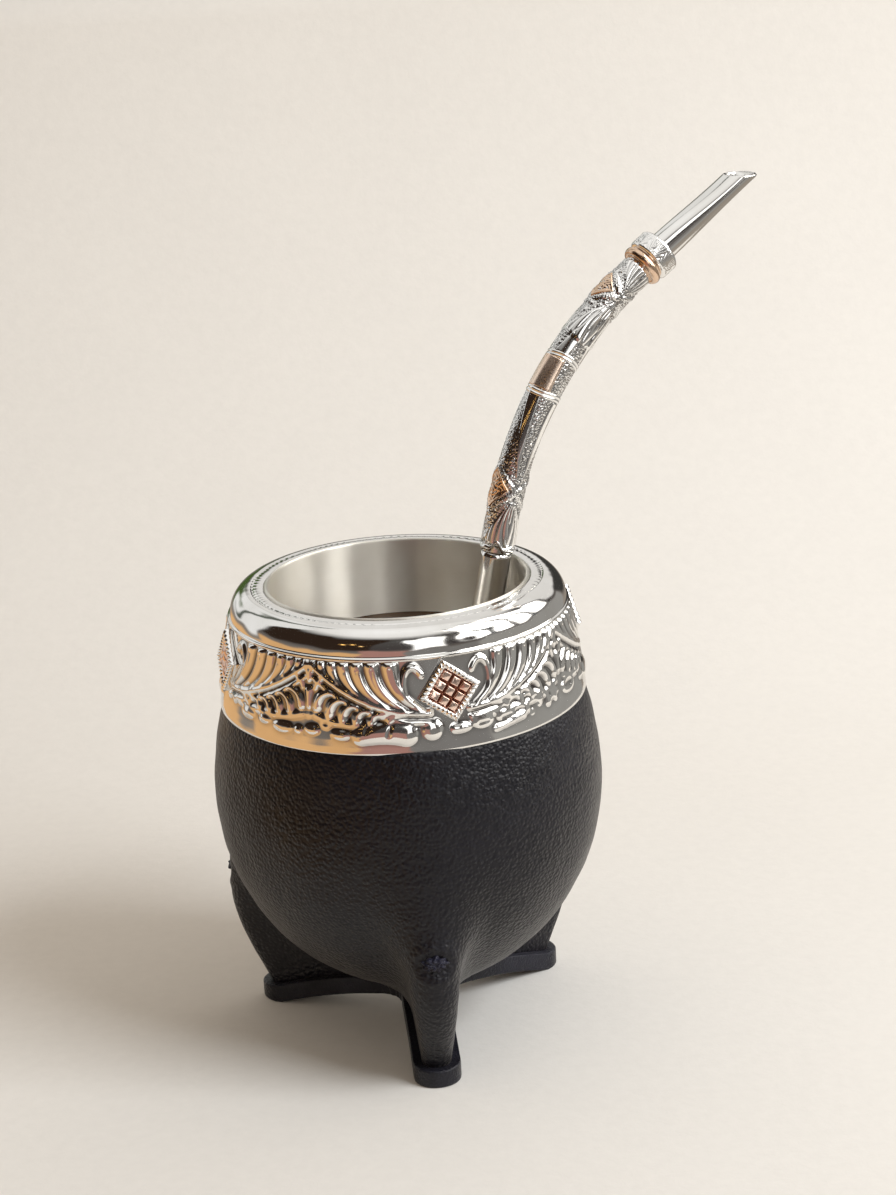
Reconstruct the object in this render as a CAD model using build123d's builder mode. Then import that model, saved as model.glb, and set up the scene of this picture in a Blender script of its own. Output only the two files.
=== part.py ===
# Mate gourd with its drink: a leather-covered gourd on three leather legs, a polished
# metal collar with copper bosses, a brushed liner and a chased metal drinking straw.
# Millimetres, +Z up. Every piece is drawn about the gourd's own axis and then moved, at
# the end, so that the origin is under the middle of the whole thing, on the table.
from build123d import *

import os
from math import asin, cos, degrees, radians, sin

os.makedirs("parts", exist_ok=True)

# ---- Driving sizes ----

# Gourd in its leather cover
belly_radius = 42.0
belly_height = 56.5
belly_underside = 10.0
neck_bulge = 0.8
cavity_radius = 34.5
cavity_floor = 18.0
cavity_widest_drop = 4.0
cavity_neck_slope = 0.25
collar_seat_height = 76.0
collar_seat_radius = 38.9

# Legs and the star-shaped sole that joins their feet
leg_turns = (-86.0, 37.0, 158.0)
foot_reach = 36.0
knee_reach = 44.2
knee_height = 26.0
shin_reach = 41.3
shin_height = 13.5
haunch_proud = 1.6
haunch_drop = 19.0
leg_top_sink = 2.0
foot_half_width = 3.2
shin_half_width = 4.2
knee_half_width = 5.6
flare_half_width = 13.4
flare_drop = 13.0
leg_edge_radius = 2.4
sole_thickness = 4.0
sole_rise = 5.5
sole_pad_start = 33.0
sole_arm_length = 33.0
sole_arm_half_width = 5.1
sole_corner_radius = 3.0

# Knots where each leg leaves the belly
knot_length = 4.8
knot_height = 3.0
knot_lift = 31.5
knot_sink = 1.6
knot_proud = 0.4

# Collar
mouth_radius = 27.5
rim_height = 101.4
rim_top_radius = 31.5
ridge_radius = 36.0
ridge_drop = 6.2
ridge_bead = 0.45
shoulder_radius = 34.6
shoulder_drop = 2.4
shoulder_facing = 42.0
wall_foot_radius = 38.1
wall_bulge = 0.35
border_height = 3.2
border_flare = 1.1
border_slope = 0.4
collar_thickness = 0.9
lip_groove_radius = 31.0
lip_groove = 0.3

# Liner sleeve inside the mouth
liner_thickness = 0.7
liner_depth = 23.0
liner_proud = 0.2

# Copper bosses on the collar
boss_count = 4
boss_turn = -75.9
boss_side = 8.6
boss_border = 0.9
boss_drop = 13.0
boss_lean = 7.5
boss_sink = 0.75
boss_proud = 1.3
tile_rows = 3
tile_gap = 0.25
tile_base_proud = 0.7
tile_rise = 0.65
tile_slope = 38.0

# Drink
drink_drop = 17.2

# Drinking straw, in the upright plane through the gourd's axis at straw_turn
straw_turn = 25.0
straw_lean = 13.5
straw_rim_gap = 0.3
straw_foot_height = 22.0
straw_bore = 2.4
stem_radius = 3.3
sleeve_radius = 3.5
straight_above_rim = 8.3
bend_radius = 80.8
bend_angle = 43.2
cuff_station = 1.4
cuff_length = 1.6
cuff_proud = 0.3
low_field_station = 15.4
low_field_length = 9.6
panel_start = 37.8
panel_end = 46.8
rib_length = 1.5
inlay_proud = 0.35
high_field_station = 63.0
high_field_length = 6.6
lip_station = 71.6
lip_length = 1.7
lip_outer_radius = 4.9
ring_length = 6.6
ring_radius = 5.1
mouthpiece_length = 26.6
mouthpiece_radius = 3.2
mouthpiece_wall = 0.7
middle_thickness = 5.5
middle_width = 6.8
tip_thickness = 4.7
tip_width = 7.2
tip_cut_angle = 40.0

# ---- Values worked out from them ----

liner_outer = mouth_radius + liner_thickness
liner_bottom = rim_height - liner_depth
boss_height = rim_height - boss_drop
ridge_height = rim_height - ridge_drop
shoulder_height = rim_height - shoulder_drop
drink_height = rim_height - drink_drop
border_top = collar_seat_height + border_height
wall_middle_height = (border_top + ridge_height) / 2
wall_middle_radius = (wall_foot_radius + ridge_radius) / 2 + wall_bulge
arch_radius = (sole_pad_start**2 + sole_rise**2) / (2 * sole_rise)
arch_angle = degrees(asin(sole_pad_start / arch_radius))
inner_seat_radius = wall_foot_radius - collar_thickness
straw_side = Plane(
    origin=(0, 0, 0),
    x_dir=(cos(radians(straw_turn)), sin(radians(straw_turn)), 0),
    z_dir=(sin(radians(straw_turn)), -cos(radians(straw_turn)), 0),
)
straw_rim_offset = mouth_radius - straw_rim_gap - stem_radius / cos(radians(straw_lean))
ring_start = lip_station + lip_length
ring_end = ring_start + ring_length


def straw_point(station):
    """Place on the straw's centre line, as (outward, up), by length from the rim's height."""
    lean = radians(straw_lean)
    if station <= straight_above_rim:
        return (
            straw_rim_offset + station * sin(lean),
            rim_height + station * cos(lean),
        )
    start_out, start_up = straw_point(straight_above_rim)
    turned = min((station - straight_above_rim) / bend_radius, radians(bend_angle))
    past = station - straight_above_rim - turned * bend_radius
    out = start_out + bend_radius * (cos(lean) - cos(lean + turned))
    up = start_up + bend_radius * (sin(lean + turned) - sin(lean))
    return (out + past * sin(lean + turned), up + past * cos(lean + turned))


def straw_heading(station):
    """Direction of the centre line at a station, as (outward, up)."""
    turned = (station - straight_above_rim) / bend_radius
    lean = radians(straw_lean) + min(max(turned, 0.0), radians(bend_angle))
    return (sin(lean), cos(lean))


def straw_plane(station):
    """Plane across the straw: its X points to the outside of the bend, its Z along the straw."""
    out, up = straw_point(station)
    heading_out, heading_up = straw_heading(station)
    place = straw_side.from_local_coords((out, up, 0))
    along = straw_side.from_local_coords((heading_out, heading_up, 0))
    across = straw_side.from_local_coords((-heading_up, heading_out, 0))
    return Plane(origin=place, x_dir=across, z_dir=along)


def straw_path(start, end):
    """Centre line between two stations: a straight run, the bend's arc, a straight run."""
    bend_start = straight_above_rim
    bend_end = straight_above_rim + radians(bend_angle) * bend_radius
    with BuildLine(straw_side) as path:
        if start < bend_start:
            Line(straw_point(start), straw_point(min(end, bend_start)))
        arc_from, arc_to = max(start, bend_start), min(end, bend_end)
        if arc_to > arc_from:
            JernArc(
                start=straw_point(arc_from),
                tangent=straw_heading(arc_from),
                radius=bend_radius,
                arc_size=-degrees((arc_to - arc_from) / bend_radius),
            )
        if end > bend_end:
            Line(straw_point(max(start, bend_end)), straw_point(end))
    return path.line


def collar_outline(inset):
    """Half outline of the collar from its foot up to the mouth, moved inwards by inset."""
    Line((wall_foot_radius - inset, collar_seat_height), (wall_foot_radius - inset, border_top))
    ThreePointArc(
        (wall_foot_radius - inset, border_top),
        (wall_middle_radius - inset, wall_middle_height),
        (ridge_radius - inset, ridge_height),
    )
    shoulder = (
        shoulder_radius - inset * cos(radians(shoulder_facing)),
        shoulder_height - inset * sin(radians(shoulder_facing)),
    )
    ThreePointArc(
        (ridge_radius - inset, ridge_height), shoulder, (rim_top_radius, rim_height - inset)
    )
    Line((rim_top_radius, rim_height - inset), (liner_outer, rim_height - inset))


def arch_outline(lift):
    """Half outline of the sole's arch, raised by lift, from the axis out past the feet."""
    CenterArc((0, sole_rise + lift - arch_radius), arch_radius, 90, -arch_angle)
    Line((sole_pad_start, lift), (knee_reach, lift))


def belly_outline():
    """Half outline of the leather belly from its underside up to the collar's seat."""
    depth = belly_height - belly_underside
    Spline(
        [
            (belly_radius * sin(radians(turn)), belly_height - depth * cos(radians(turn)))
            for turn in (0, 22.5, 45, 67.5, 90)
        ],
        tangents=[(1, 0), (0, 1)],
    )
    neck_middle = (belly_radius + collar_seat_radius) / 2 + neck_bulge
    ThreePointArc(
        (belly_radius, belly_height),
        (neck_middle, (belly_height + collar_seat_height) / 2),
        (collar_seat_radius, collar_seat_height),
    )


def cavity_outline():
    """Half outline of the hollow from its floor up to the liner's foot."""
    Spline(
        (0, cavity_floor),
        (cavity_radius, belly_height - cavity_widest_drop),
        (mouth_radius, liner_bottom),
        tangents=[(1, 0), (0, 1), (-cavity_neck_slope, 1)],
    )


# ---- Sole: a three-armed star, arched so that only its three feet touch the table ----

with BuildPart() as sole:
    with BuildSketch() as star:
        for turn in leg_turns:
            with PolarLocations(sole_arm_length / 2, 1, start_angle=turn):
                Rectangle(sole_arm_length, 2 * sole_arm_half_width)
            with PolarLocations(sole_arm_length, 1, start_angle=turn):
                Circle(sole_arm_half_width)
        inner_corners = star.vertices().sort_by_distance((0, 0, 0))[: len(leg_turns)]
        fillet(inner_corners, sole_corner_radius)
    extrude(amount=sole_rise + sole_thickness)
    with BuildSketch(Plane.XZ):
        with BuildLine():
            arch_outline(0)
            Line((knee_reach, 0), (knee_reach, sole_thickness))
            arch_outline(sole_thickness)
            Line((0, sole_rise), (0, sole_rise + sole_thickness))
        make_face()
    revolve(axis=Axis.Z, mode=Mode.INTERSECT)

# ---- One leg, pointing along +X: its side outline turned about the gourd's axis and
# crossed with its front outline ----

with BuildPart() as leg:
    with BuildSketch(Plane.XZ):
        with BuildLine():
            Spline(
                (foot_reach, sole_thickness),
                (shin_reach, shin_height),
                (knee_reach, knee_height),
                (belly_radius + haunch_proud, belly_height - haunch_drop),
                (belly_radius - leg_top_sink, belly_height - leg_top_sink),
            )
            Polyline(
                (belly_radius - leg_top_sink, belly_height - leg_top_sink),
                (0, belly_height - leg_top_sink),
                (0, 0),
                (foot_reach, 0),
                (foot_reach, sole_thickness),
            )
        make_face()
    revolve(axis=Axis.Z)
    with BuildSketch(Plane.YZ):
        with BuildLine():
            Spline(
                (foot_half_width, sole_thickness),
                (shin_half_width, shin_height),
                (knee_half_width, knee_height),
                (flare_half_width, belly_height - flare_drop),
            )
            Polyline(
                (flare_half_width, belly_height - flare_drop),
                (flare_half_width, belly_height),
                (0, belly_height),
                (0, 0),
                (foot_half_width, 0),
                (foot_half_width, sole_thickness),
            )
        make_face()
        mirror(about=Plane.YZ)
    extrude(amount=knee_reach + foot_reach, mode=Mode.INTERSECT)
    ridge_edges = leg.edges().filter_by(
        lambda edge: edge.center().X > foot_reach and edge.length > knee_height
    )
    fillet(ridge_edges, leg_edge_radius)

# ---- Knots, one at the top of each leg's ridge ----

knots = []
for turn in leg_turns:
    knot_radius = knee_reach - knot_sink
    knot_plane = Plane(
        origin=(knot_radius * cos(radians(turn)), knot_radius * sin(radians(turn)), knot_lift),
        x_dir=(-sin(radians(turn)), cos(radians(turn)), 0),
        z_dir=(cos(radians(turn)), sin(radians(turn)), 0),
    )
    with BuildPart() as knot:
        with BuildSketch(knot_plane):
            Ellipse(knot_length / 2, knot_height / 2)
        extrude(amount=knot_sink + knot_proud)
        outer_edge = knot.faces().sort_by(Axis(knot_plane.origin, knot_plane.z_dir))[-1].edges()
        fillet(outer_edge, knot_proud)
    knots.append(knot)

# ---- Gourd in its leather cover, with the legs drawn out of the same leather ----

with BuildPart() as leather_body:
    with BuildSketch(Plane.XZ):
        with BuildLine():
            belly_outline()
            Line((collar_seat_radius, collar_seat_height), (inner_seat_radius, collar_seat_height))
            collar_outline(collar_thickness)
            Polyline(
                (liner_outer, rim_height - collar_thickness),
                (0, rim_height - collar_thickness),
                (0, belly_underside),
            )
        make_face()
    revolve(axis=Axis.Z)
    for turn in leg_turns:
        add(leg.part, rotation=(0, 0, turn))
    for knot in knots:
        add(knot.part, mode=Mode.SUBTRACT)
    with BuildSketch(Plane.XZ):
        with BuildLine():
            arch_outline(sole_thickness)
            Polyline(
                (knee_reach, sole_thickness),
                (knee_reach, -sole_thickness),
                (0, -sole_thickness),
                (0, sole_rise + sole_thickness),
            )
        make_face()
    revolve(axis=Axis.Z, mode=Mode.SUBTRACT)
    with BuildSketch(Plane.XZ):
        with BuildLine():
            cavity_outline()
            Polyline(
                (mouth_radius, liner_bottom),
                (liner_outer, liner_bottom),
                (liner_outer, rim_height),
                (0, rim_height),
                (0, cavity_floor),
            )
        make_face()
    revolve(axis=Axis.Z, mode=Mode.SUBTRACT)

# ---- Collar: one sheet of metal with a rounded rim, a ridge and a rolled border ----

with BuildPart() as collar:
    with BuildSketch(Plane.XZ):
        with BuildLine():
            collar_outline(0)
            Line((liner_outer, rim_height), (liner_outer, rim_height - collar_thickness))
            collar_outline(collar_thickness)
            Line((inner_seat_radius, collar_seat_height), (wall_foot_radius, collar_seat_height))
        make_face()
        with BuildLine():
            Polyline(
                (wall_foot_radius - collar_thickness / 2, collar_seat_height),
                (wall_foot_radius + border_flare, collar_seat_height),
                (wall_foot_radius + border_flare / 2, border_top - border_slope),
                (wall_foot_radius - collar_thickness / 2, border_top),
                close=True,
            )
        make_face()
        with Locations((ridge_radius, ridge_height)):
            Circle(ridge_bead)
        with Locations((lip_groove_radius, rim_height)):
            Circle(lip_groove, mode=Mode.SUBTRACT)
    revolve(axis=Axis.Z)

# ---- Liner sleeve ----

with BuildPart() as liner:
    with BuildSketch(Plane.XZ):
        with Locations((mouth_radius + liner_thickness / 2, liner_bottom)):
            Rectangle(
                liner_thickness,
                liner_depth + liner_proud,
                align=(Align.CENTER, Align.MIN),
            )
    revolve(axis=Axis.Z)
    fillet(liner.edges().group_by(Axis.Z)[-1], liner_thickness / 3)

# ---- Bosses: a square beaded frame set on its corner, with copper pyramids inside ----

boss_frames = []
boss_tiles = []
tile_field = boss_side - 2 * boss_border
tile_side = (tile_field - (tile_rows + 1) * tile_gap) / tile_rows
for turn in [boss_turn + 360 / boss_count * step for step in range(boss_count)]:
    outward = (
        cos(radians(turn)) * cos(radians(boss_lean)),
        sin(radians(turn)) * cos(radians(boss_lean)),
        sin(radians(boss_lean)),
    )
    boss_plane = Plane(
        origin=(
            wall_middle_radius * cos(radians(turn)),
            wall_middle_radius * sin(radians(turn)),
            boss_height,
        ),
        x_dir=(-sin(radians(turn)), cos(radians(turn)), 0),
        z_dir=outward,
    )
    with BuildPart() as frame:
        with BuildSketch(boss_plane.offset(-boss_sink)):
            Rectangle(boss_side, boss_side, rotation=45)
            Rectangle(tile_field, tile_field, rotation=45, mode=Mode.SUBTRACT)
        extrude(amount=boss_sink + boss_proud)
        add(collar.part, mode=Mode.SUBTRACT)
    boss_frames.append(frame)
    with BuildPart() as tiles:
        with BuildSketch(boss_plane.offset(-boss_sink)):
            Rectangle(tile_field, tile_field, rotation=45)
        extrude(amount=boss_sink + tile_base_proud)
        with BuildSketch(boss_plane.offset(tile_base_proud)):
            with Locations(Rotation(0, 0, 45)):
                with GridLocations(tile_side + tile_gap, tile_side + tile_gap, tile_rows, tile_rows):
                    Rectangle(tile_side, tile_side)
        extrude(amount=tile_rise, taper=tile_slope)
        add(collar.part, mode=Mode.SUBTRACT)
    boss_tiles.append(tiles)

# ---- Straw: plain stem, chased sleeve, cuff, inlays, lip, ring and mouthpiece ----

stem_foot = (straw_foot_height - rim_height) / cos(radians(straw_lean))


def tube(start, end, outer, inner):
    """Tube along the straw's centre line between two stations."""
    with BuildPart() as made:
        with BuildSketch(straw_plane(start)):
            Circle(outer)
            Circle(inner, mode=Mode.SUBTRACT)
        sweep(path=straw_path(start, end))
    return made


straw_stem = tube(stem_foot, cuff_station, stem_radius, straw_bore)
straw_sleeve = tube(cuff_station, ring_end, sleeve_radius, straw_bore)
straw_cuff = tube(cuff_station, cuff_station + cuff_length, sleeve_radius + cuff_proud, sleeve_radius)
straw_rib_low = tube(
    panel_start - rib_length, panel_start, sleeve_radius + inlay_proud, sleeve_radius
)
straw_rib_high = tube(panel_end, panel_end + rib_length, sleeve_radius + inlay_proud, sleeve_radius)

# Copper panel: the outer half of a tube, on the outside of the bend
with BuildPart() as straw_panel:
    with BuildSketch(straw_plane(panel_start)):
        Circle(sleeve_radius + inlay_proud)
        Circle(sleeve_radius, mode=Mode.SUBTRACT)
        with Locations((-sleeve_radius, 0)):
            Rectangle(2 * sleeve_radius, 4 * sleeve_radius, mode=Mode.SUBTRACT)
    sweep(path=straw_path(panel_start, panel_end))


def inlay(middle, length):
    """Lozenge of thin metal wrapped round the outside of the bend."""
    half = length / 2
    with BuildPart() as made:
        with BuildSketch(straw_plane(middle - half)):
            Circle(sleeve_radius + inlay_proud)
            Circle(sleeve_radius, mode=Mode.SUBTRACT)
        sweep(path=straw_path(middle - half, middle + half))
        across = straw_plane(middle)
        with BuildSketch(Plane(across.origin, x_dir=across.z_dir, z_dir=across.x_dir)):
            wide = sleeve_radius + inlay_proud
            Polygon((-half, 0), (0, wide), (half, 0), (0, -wide))
        extrude(amount=2 * sleeve_radius, mode=Mode.INTERSECT)
    return made


straw_field_low = inlay(low_field_station, low_field_length)
straw_field_high = inlay(high_field_station, high_field_length)

straw_lip = tube(lip_station, ring_start, lip_outer_radius, sleeve_radius)
with BuildPart() as straw_ring:
    with BuildSketch(straw_plane(ring_start)):
        Circle(ring_radius)
        Circle(sleeve_radius, mode=Mode.SUBTRACT)
    sweep(path=straw_path(ring_start, ring_end))
    rim_edges = straw_ring.edges().filter_by(GeomType.CIRCLE).group_by(SortBy.RADIUS)[-1]
    fillet(rim_edges, (ring_radius - sleeve_radius) / 2)



def mouthpiece_section(share, inset):
    """Outline of the mouthpiece, moved inwards by inset, at a share of its length."""
    sizes = (
        (mouthpiece_radius, mouthpiece_radius),
        (middle_thickness / 2, middle_width / 2),
        (tip_thickness / 2, tip_width / 2),
    )
    thick, wide = sizes[round(share * 2)]
    Ellipse(thick - inset, wide - inset)


# Mouthpiece: round at the ring, flattened and cut aslant at its tip
with BuildPart() as straw_mouthpiece:
    for share in (0, 0.5, 1):
        with BuildSketch(straw_plane(ring_end + share * mouthpiece_length)):
            mouthpiece_section(share, 0)
    loft()
    for share in (0, 0.5, 1):
        with BuildSketch(straw_plane(ring_end + share * mouthpiece_length)):
            mouthpiece_section(share, mouthpiece_wall)
    loft(mode=Mode.SUBTRACT)
    tip = straw_plane(ring_end + mouthpiece_length)
    tip_corner = tip.origin - tip.x_dir * tip_thickness / 2
    aslant = tip.x_dir.rotate(Axis(tip.origin, tip.y_dir), tip_cut_angle - 90)
    slope = Plane(tip_corner, x_dir=tip.y_dir, z_dir=aslant)
    split(bisect_by=slope, keep=Keep.BOTTOM)

# ---- Drink: fills the hollow up to its level, round the straw's stem ----

with BuildPart() as drink:
    with BuildSketch(Plane.XZ):
        with BuildLine():
            cavity_outline()
            Polyline(
                (mouth_radius, liner_bottom),
                (mouth_radius, drink_height),
                (0, drink_height),
                (0, cavity_floor),
            )
        make_face()
    revolve(axis=Axis.Z)
    with BuildSketch(straw_plane(stem_foot)):
        Circle(stem_radius)
    extrude(amount=-stem_foot, mode=Mode.SUBTRACT)

# ---- Files, with the origin under the middle of the whole thing, on the table ----

pieces = {
    "leather_body": leather_body,
    "sole": sole,
    "collar": collar,
    "liner": liner,
    "drink": drink,
    "straw_stem": straw_stem,
    "straw_sleeve": straw_sleeve,
    "straw_cuff": straw_cuff,
    "straw_field_low": straw_field_low,
    "straw_rib_low": straw_rib_low,
    "straw_panel": straw_panel,
    "straw_rib_high": straw_rib_high,
    "straw_field_high": straw_field_high,
    "straw_lip": straw_lip,
    "straw_ring": straw_ring,
    "straw_mouthpiece": straw_mouthpiece,
}
for number, knot in enumerate(knots, start=1):
    pieces[f"leg_knot_{number}"] = knot
for number, (frame, tiles) in enumerate(zip(boss_frames, boss_tiles), start=1):
    pieces[f"boss_frame_{number}"] = frame
    pieces[f"boss_tiles_{number}"] = tiles

whole = Compound([piece.part for piece in pieces.values()]).bounding_box()
to_origin = Location((-whole.center().X, -whole.center().Y, -whole.min.Z))
for name, piece in pieces.items():
    placed = piece.part.moved(to_origin)
    placed.label = name
    export_step(placed, f"parts/{name}.step")
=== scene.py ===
import bpy
import numpy as np
from mathutils import Matrix, Vector


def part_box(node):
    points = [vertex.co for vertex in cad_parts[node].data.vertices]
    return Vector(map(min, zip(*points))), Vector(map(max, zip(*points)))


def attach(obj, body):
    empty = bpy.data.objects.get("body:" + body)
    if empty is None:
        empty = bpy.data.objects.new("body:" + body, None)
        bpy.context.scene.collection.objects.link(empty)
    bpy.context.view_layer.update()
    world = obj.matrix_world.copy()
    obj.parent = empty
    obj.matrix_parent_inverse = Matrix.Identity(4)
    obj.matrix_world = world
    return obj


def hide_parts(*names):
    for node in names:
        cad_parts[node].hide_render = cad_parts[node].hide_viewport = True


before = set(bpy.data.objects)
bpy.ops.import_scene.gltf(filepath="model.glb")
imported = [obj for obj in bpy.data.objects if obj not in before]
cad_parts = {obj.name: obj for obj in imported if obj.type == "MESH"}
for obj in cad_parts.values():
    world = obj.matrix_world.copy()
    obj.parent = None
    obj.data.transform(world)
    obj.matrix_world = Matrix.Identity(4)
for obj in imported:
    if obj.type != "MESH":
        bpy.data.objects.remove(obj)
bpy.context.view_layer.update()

mm = 0.001
linerLow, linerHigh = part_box("liner")
axisX = (linerLow.x + linerHigh.x) / 2  # the gourd's own axis
axisY = (linerLow.y + linerHigh.y) / 2


# quads between neighbouring rows and columns; a wrapped direction joins its end to its start
def gridQuads(rowCount, columnCount, wrapColumns=True, wrapRows=False):
    rows = np.arange(rowCount if wrapRows else rowCount - 1)[:, None]
    columns = np.arange(columnCount if wrapColumns else columnCount - 1)[None]
    nextRow = (rows + 1) % rowCount
    nextColumn = (columns + 1) % columnCount
    corners = [
        rows * columnCount + columns,
        rows * columnCount + nextColumn,
        nextRow * columnCount + nextColumn,
        nextRow * columnCount + columns,
    ]
    return np.stack(np.broadcast_arrays(*corners), -1).reshape(-1, 4)


# a wrapped grid whose first and last rows are closed by a fan to their middle point
def closedSurface(grid):
    rowCount, columnCount = grid.shape[:2]
    points = np.concatenate([grid.reshape(-1, 3), grid[:1].mean(1), grid[-1:].mean(1)])
    here = np.arange(columnCount)
    after = (here + 1) % columnCount
    firstPole = np.full(columnCount, rowCount * columnCount)
    start = np.stack([after, here, firstPole], -1)
    lastRow = (rowCount - 1) * columnCount
    end = np.stack([lastRow + here, lastRow + after, firstPole + 1], -1)
    return points, gridQuads(rowCount, columnCount), np.concatenate([start, end])


# a grid wrapped both ways, like a tyre
def ringSurface(grid):
    rowCount, columnCount = grid.shape[:2]
    return grid.reshape(-1, 3), gridQuads(rowCount, columnCount, True, True), np.zeros((0, 3), int)


# a patch with a top and a bottom grid of the same size, closed round its four sides
def patchSurface(top, bottom):
    rowCount, columnCount = top.shape[:2]
    count = rowCount * columnCount
    index = np.arange(count).reshape(rowCount, columnCount)
    edge = np.concatenate([index[0], index[1:, -1], index[-1, -2::-1], index[-2:0:-1, 0]])
    following = np.roll(edge, -1)
    side = np.stack([following, edge, edge + count, following + count], -1)
    quads = gridQuads(rowCount, columnCount, False)
    faces = np.concatenate([quads, quads[:, ::-1] + count, side])
    return np.concatenate([top.reshape(-1, 3), bottom.reshape(-1, 3)]), faces, np.zeros((0, 3), int)


# six times the volume inside a surface, below zero when its faces point inwards
def signedVolume(points, quads, triangles):
    parts = np.concatenate([triangles, quads[:, [0, 1, 2]], quads[:, [0, 2, 3]]])
    a, b, c = points[parts[:, 0]], points[parts[:, 1]], points[parts[:, 2]]
    return np.einsum("ij,ij->i", a, np.cross(b, c)).sum()


# makes one object from surfaces in millimetres about the gourd's axis, storing how hollow it is as the mask
# for painted shade
def makePiece(name, surfaces, material, nodeNames=(), hollow=None):
    allPoints, allQuads, allTriangles = [], [], []
    start = 0
    for points, quads, triangles in surfaces:
        centred = points - points.mean(0)
        if signedVolume(centred, quads, triangles) < 0:
            quads, triangles = quads[:, ::-1], triangles[:, ::-1]
        allPoints.append(points)
        allQuads.append(quads + start)
        allTriangles.append(triangles + start)
        start += len(points)
    points = np.concatenate(allPoints) * mm + np.array([axisX, axisY, 0.0])
    quads = np.concatenate(allQuads)
    triangles = np.concatenate(allTriangles)
    mesh = bpy.data.meshes.new(name)
    mesh.vertices.add(len(points))
    mesh.vertices.foreach_set("co", points.astype(np.float32).ravel())
    loops = np.concatenate([quads.ravel(), triangles.ravel()]).astype(np.int32)
    sizes = np.concatenate([np.full(len(quads), 4), np.full(len(triangles), 3)])
    starts = np.concatenate([[0], np.cumsum(sizes)[:-1]])
    mesh.loops.add(len(loops))
    mesh.loops.foreach_set("vertex_index", loops)
    mesh.polygons.add(len(sizes))
    mesh.polygons.foreach_set("loop_start", starts.astype(np.int32))
    mesh.polygons.foreach_set("use_smooth", np.ones(len(sizes), bool))
    mesh.update(calc_edges=True)
    mesh.validate()
    mesh.materials.append(material)
    if hollow is not None:
        stored = mesh.attributes.new("hollow", "FLOAT", "POINT")
        stored.data.foreach_set("value", hollow.astype(np.float32).ravel())
    piece = bpy.data.objects.new(name, mesh)
    bpy.context.scene.collection.objects.link(piece)
    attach(piece, "root")
    if nodeNames:
        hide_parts(*nodeNames)
    print("made", name, len(sizes), "faces")
    return piece


# evenly spaced angles once round, without the one that closes the turn
def fullTurn(count, start=0.0):
    return np.linspace(start, start + 2 * np.pi, count, endpoint=False)


# a profile of (radius, height) points turned about the gourd's axis
def turned(radii, heights, angles):
    radii, heights = np.broadcast_arrays(np.asarray(radii, float), np.asarray(heights, float))
    if radii.ndim == 1:
        radii, heights = radii[:, None], heights[:, None]
    shape = np.broadcast_shapes(radii.shape, (1, len(angles)))
    x = np.broadcast_to(radii * np.cos(angles), shape)
    y = np.broadcast_to(radii * np.sin(angles), shape)
    return np.stack([x, y, np.broadcast_to(heights, shape)], -1)


# a grid blurred by thirds along both ways, wrapped round the columns
def blurred(grid, times):
    for _ in range(times):
        grid = (np.roll(grid, 1, 1) + 2 * grid + np.roll(grid, -1, 1)) / 4
        grid[1:-1] = (grid[:-2] + 2 * grid[1:-1] + grid[2:]) / 4
    return grid


# how hollow a relief is: its blurred height less its own, as a share of a full hollow
def hollowOf(relief, times, full):
    return np.clip((blurred(relief, times) - relief) / full, 0, 1)


# 0 below low, 1 above high, with soft ends
def easeBetween(value, low, high):
    t = np.clip((value - low) / (high - low), 0, 1)
    return t * t * (3 - 2 * t)


# a smooth wandering height from a few long sine waves in seeded directions
def gentleUneven(points, wavelength, amount, seed):
    waves = np.random.default_rng(seed)
    total = np.zeros(points.shape[:-1])
    for share in (1.0, 0.62, 0.41, 0.27):
        direction = waves.normal(size=3)
        direction *= 2 * np.pi / (wavelength * share * np.linalg.norm(direction))
        total = total + share * np.sin(points @ direction + waves.uniform(0, 6.3))
    return amount * total / 2.3


# a new material with a Principled shader whose plain values are set on its own sockets
def startMaterial(name, **values):
    material = bpy.data.materials.new(name)
    material.use_nodes = True
    shader = material.node_tree.nodes["Principled BSDF"]
    for socket, value in values.items():
        shader.inputs[socket.replace("_", " ")].default_value = value
    return material, material.node_tree, shader


# adds a node, sets its plain inputs and properties, and returns it
def addNode(tree, kind, inputs=None, **properties):
    node = tree.nodes.new(kind)
    for key, value in properties.items():
        setattr(node, key, value)
    for key, value in (inputs or {}).items():
        node.inputs[key].default_value = value
    return node


# object coordinates, stretched by scale along each axis
def objectCoordinates(tree, scale=(1, 1, 1)):
    coordinates = addNode(tree, "ShaderNodeTexCoord")
    mapping = addNode(tree, "ShaderNodeMapping", {"Scale": scale})
    tree.links.new(coordinates.outputs["Object"], mapping.inputs["Vector"])
    return mapping.outputs["Vector"]


# noise at a grain size in metres
def noiseAt(tree, vector, grainSize, detail=3.0, roughness=0.5):
    values = {"Scale": 1 / grainSize, "Detail": detail, "Roughness": roughness}
    noise = addNode(tree, "ShaderNodeTexNoise", values)
    tree.links.new(vector, noise.inputs["Vector"])
    return noise.outputs["Fac"]


# a ramp from (position, colour) stops
def rampOf(tree, factor, stops):
    ramp = addNode(tree, "ShaderNodeValToRGB")
    elements = ramp.color_ramp.elements
    while len(elements) < len(stops):
        elements.new(0.5)
    for element, (position, colour) in zip(elements, stops):
        element.position = position
        element.color = (*colour, 1)
    tree.links.new(factor, ramp.inputs["Fac"])
    return ramp.outputs["Color"]


# maps a factor from one range to another
def rangeOf(tree, factor, fromLow, fromHigh, toLow, toHigh):
    limits = {"From Min": fromLow, "From Max": fromHigh, "To Min": toLow, "To Max": toHigh}
    node = addNode(tree, "ShaderNodeMapRange", limits)
    tree.links.new(factor, node.inputs["Value"])
    return node.outputs["Result"]


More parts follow.
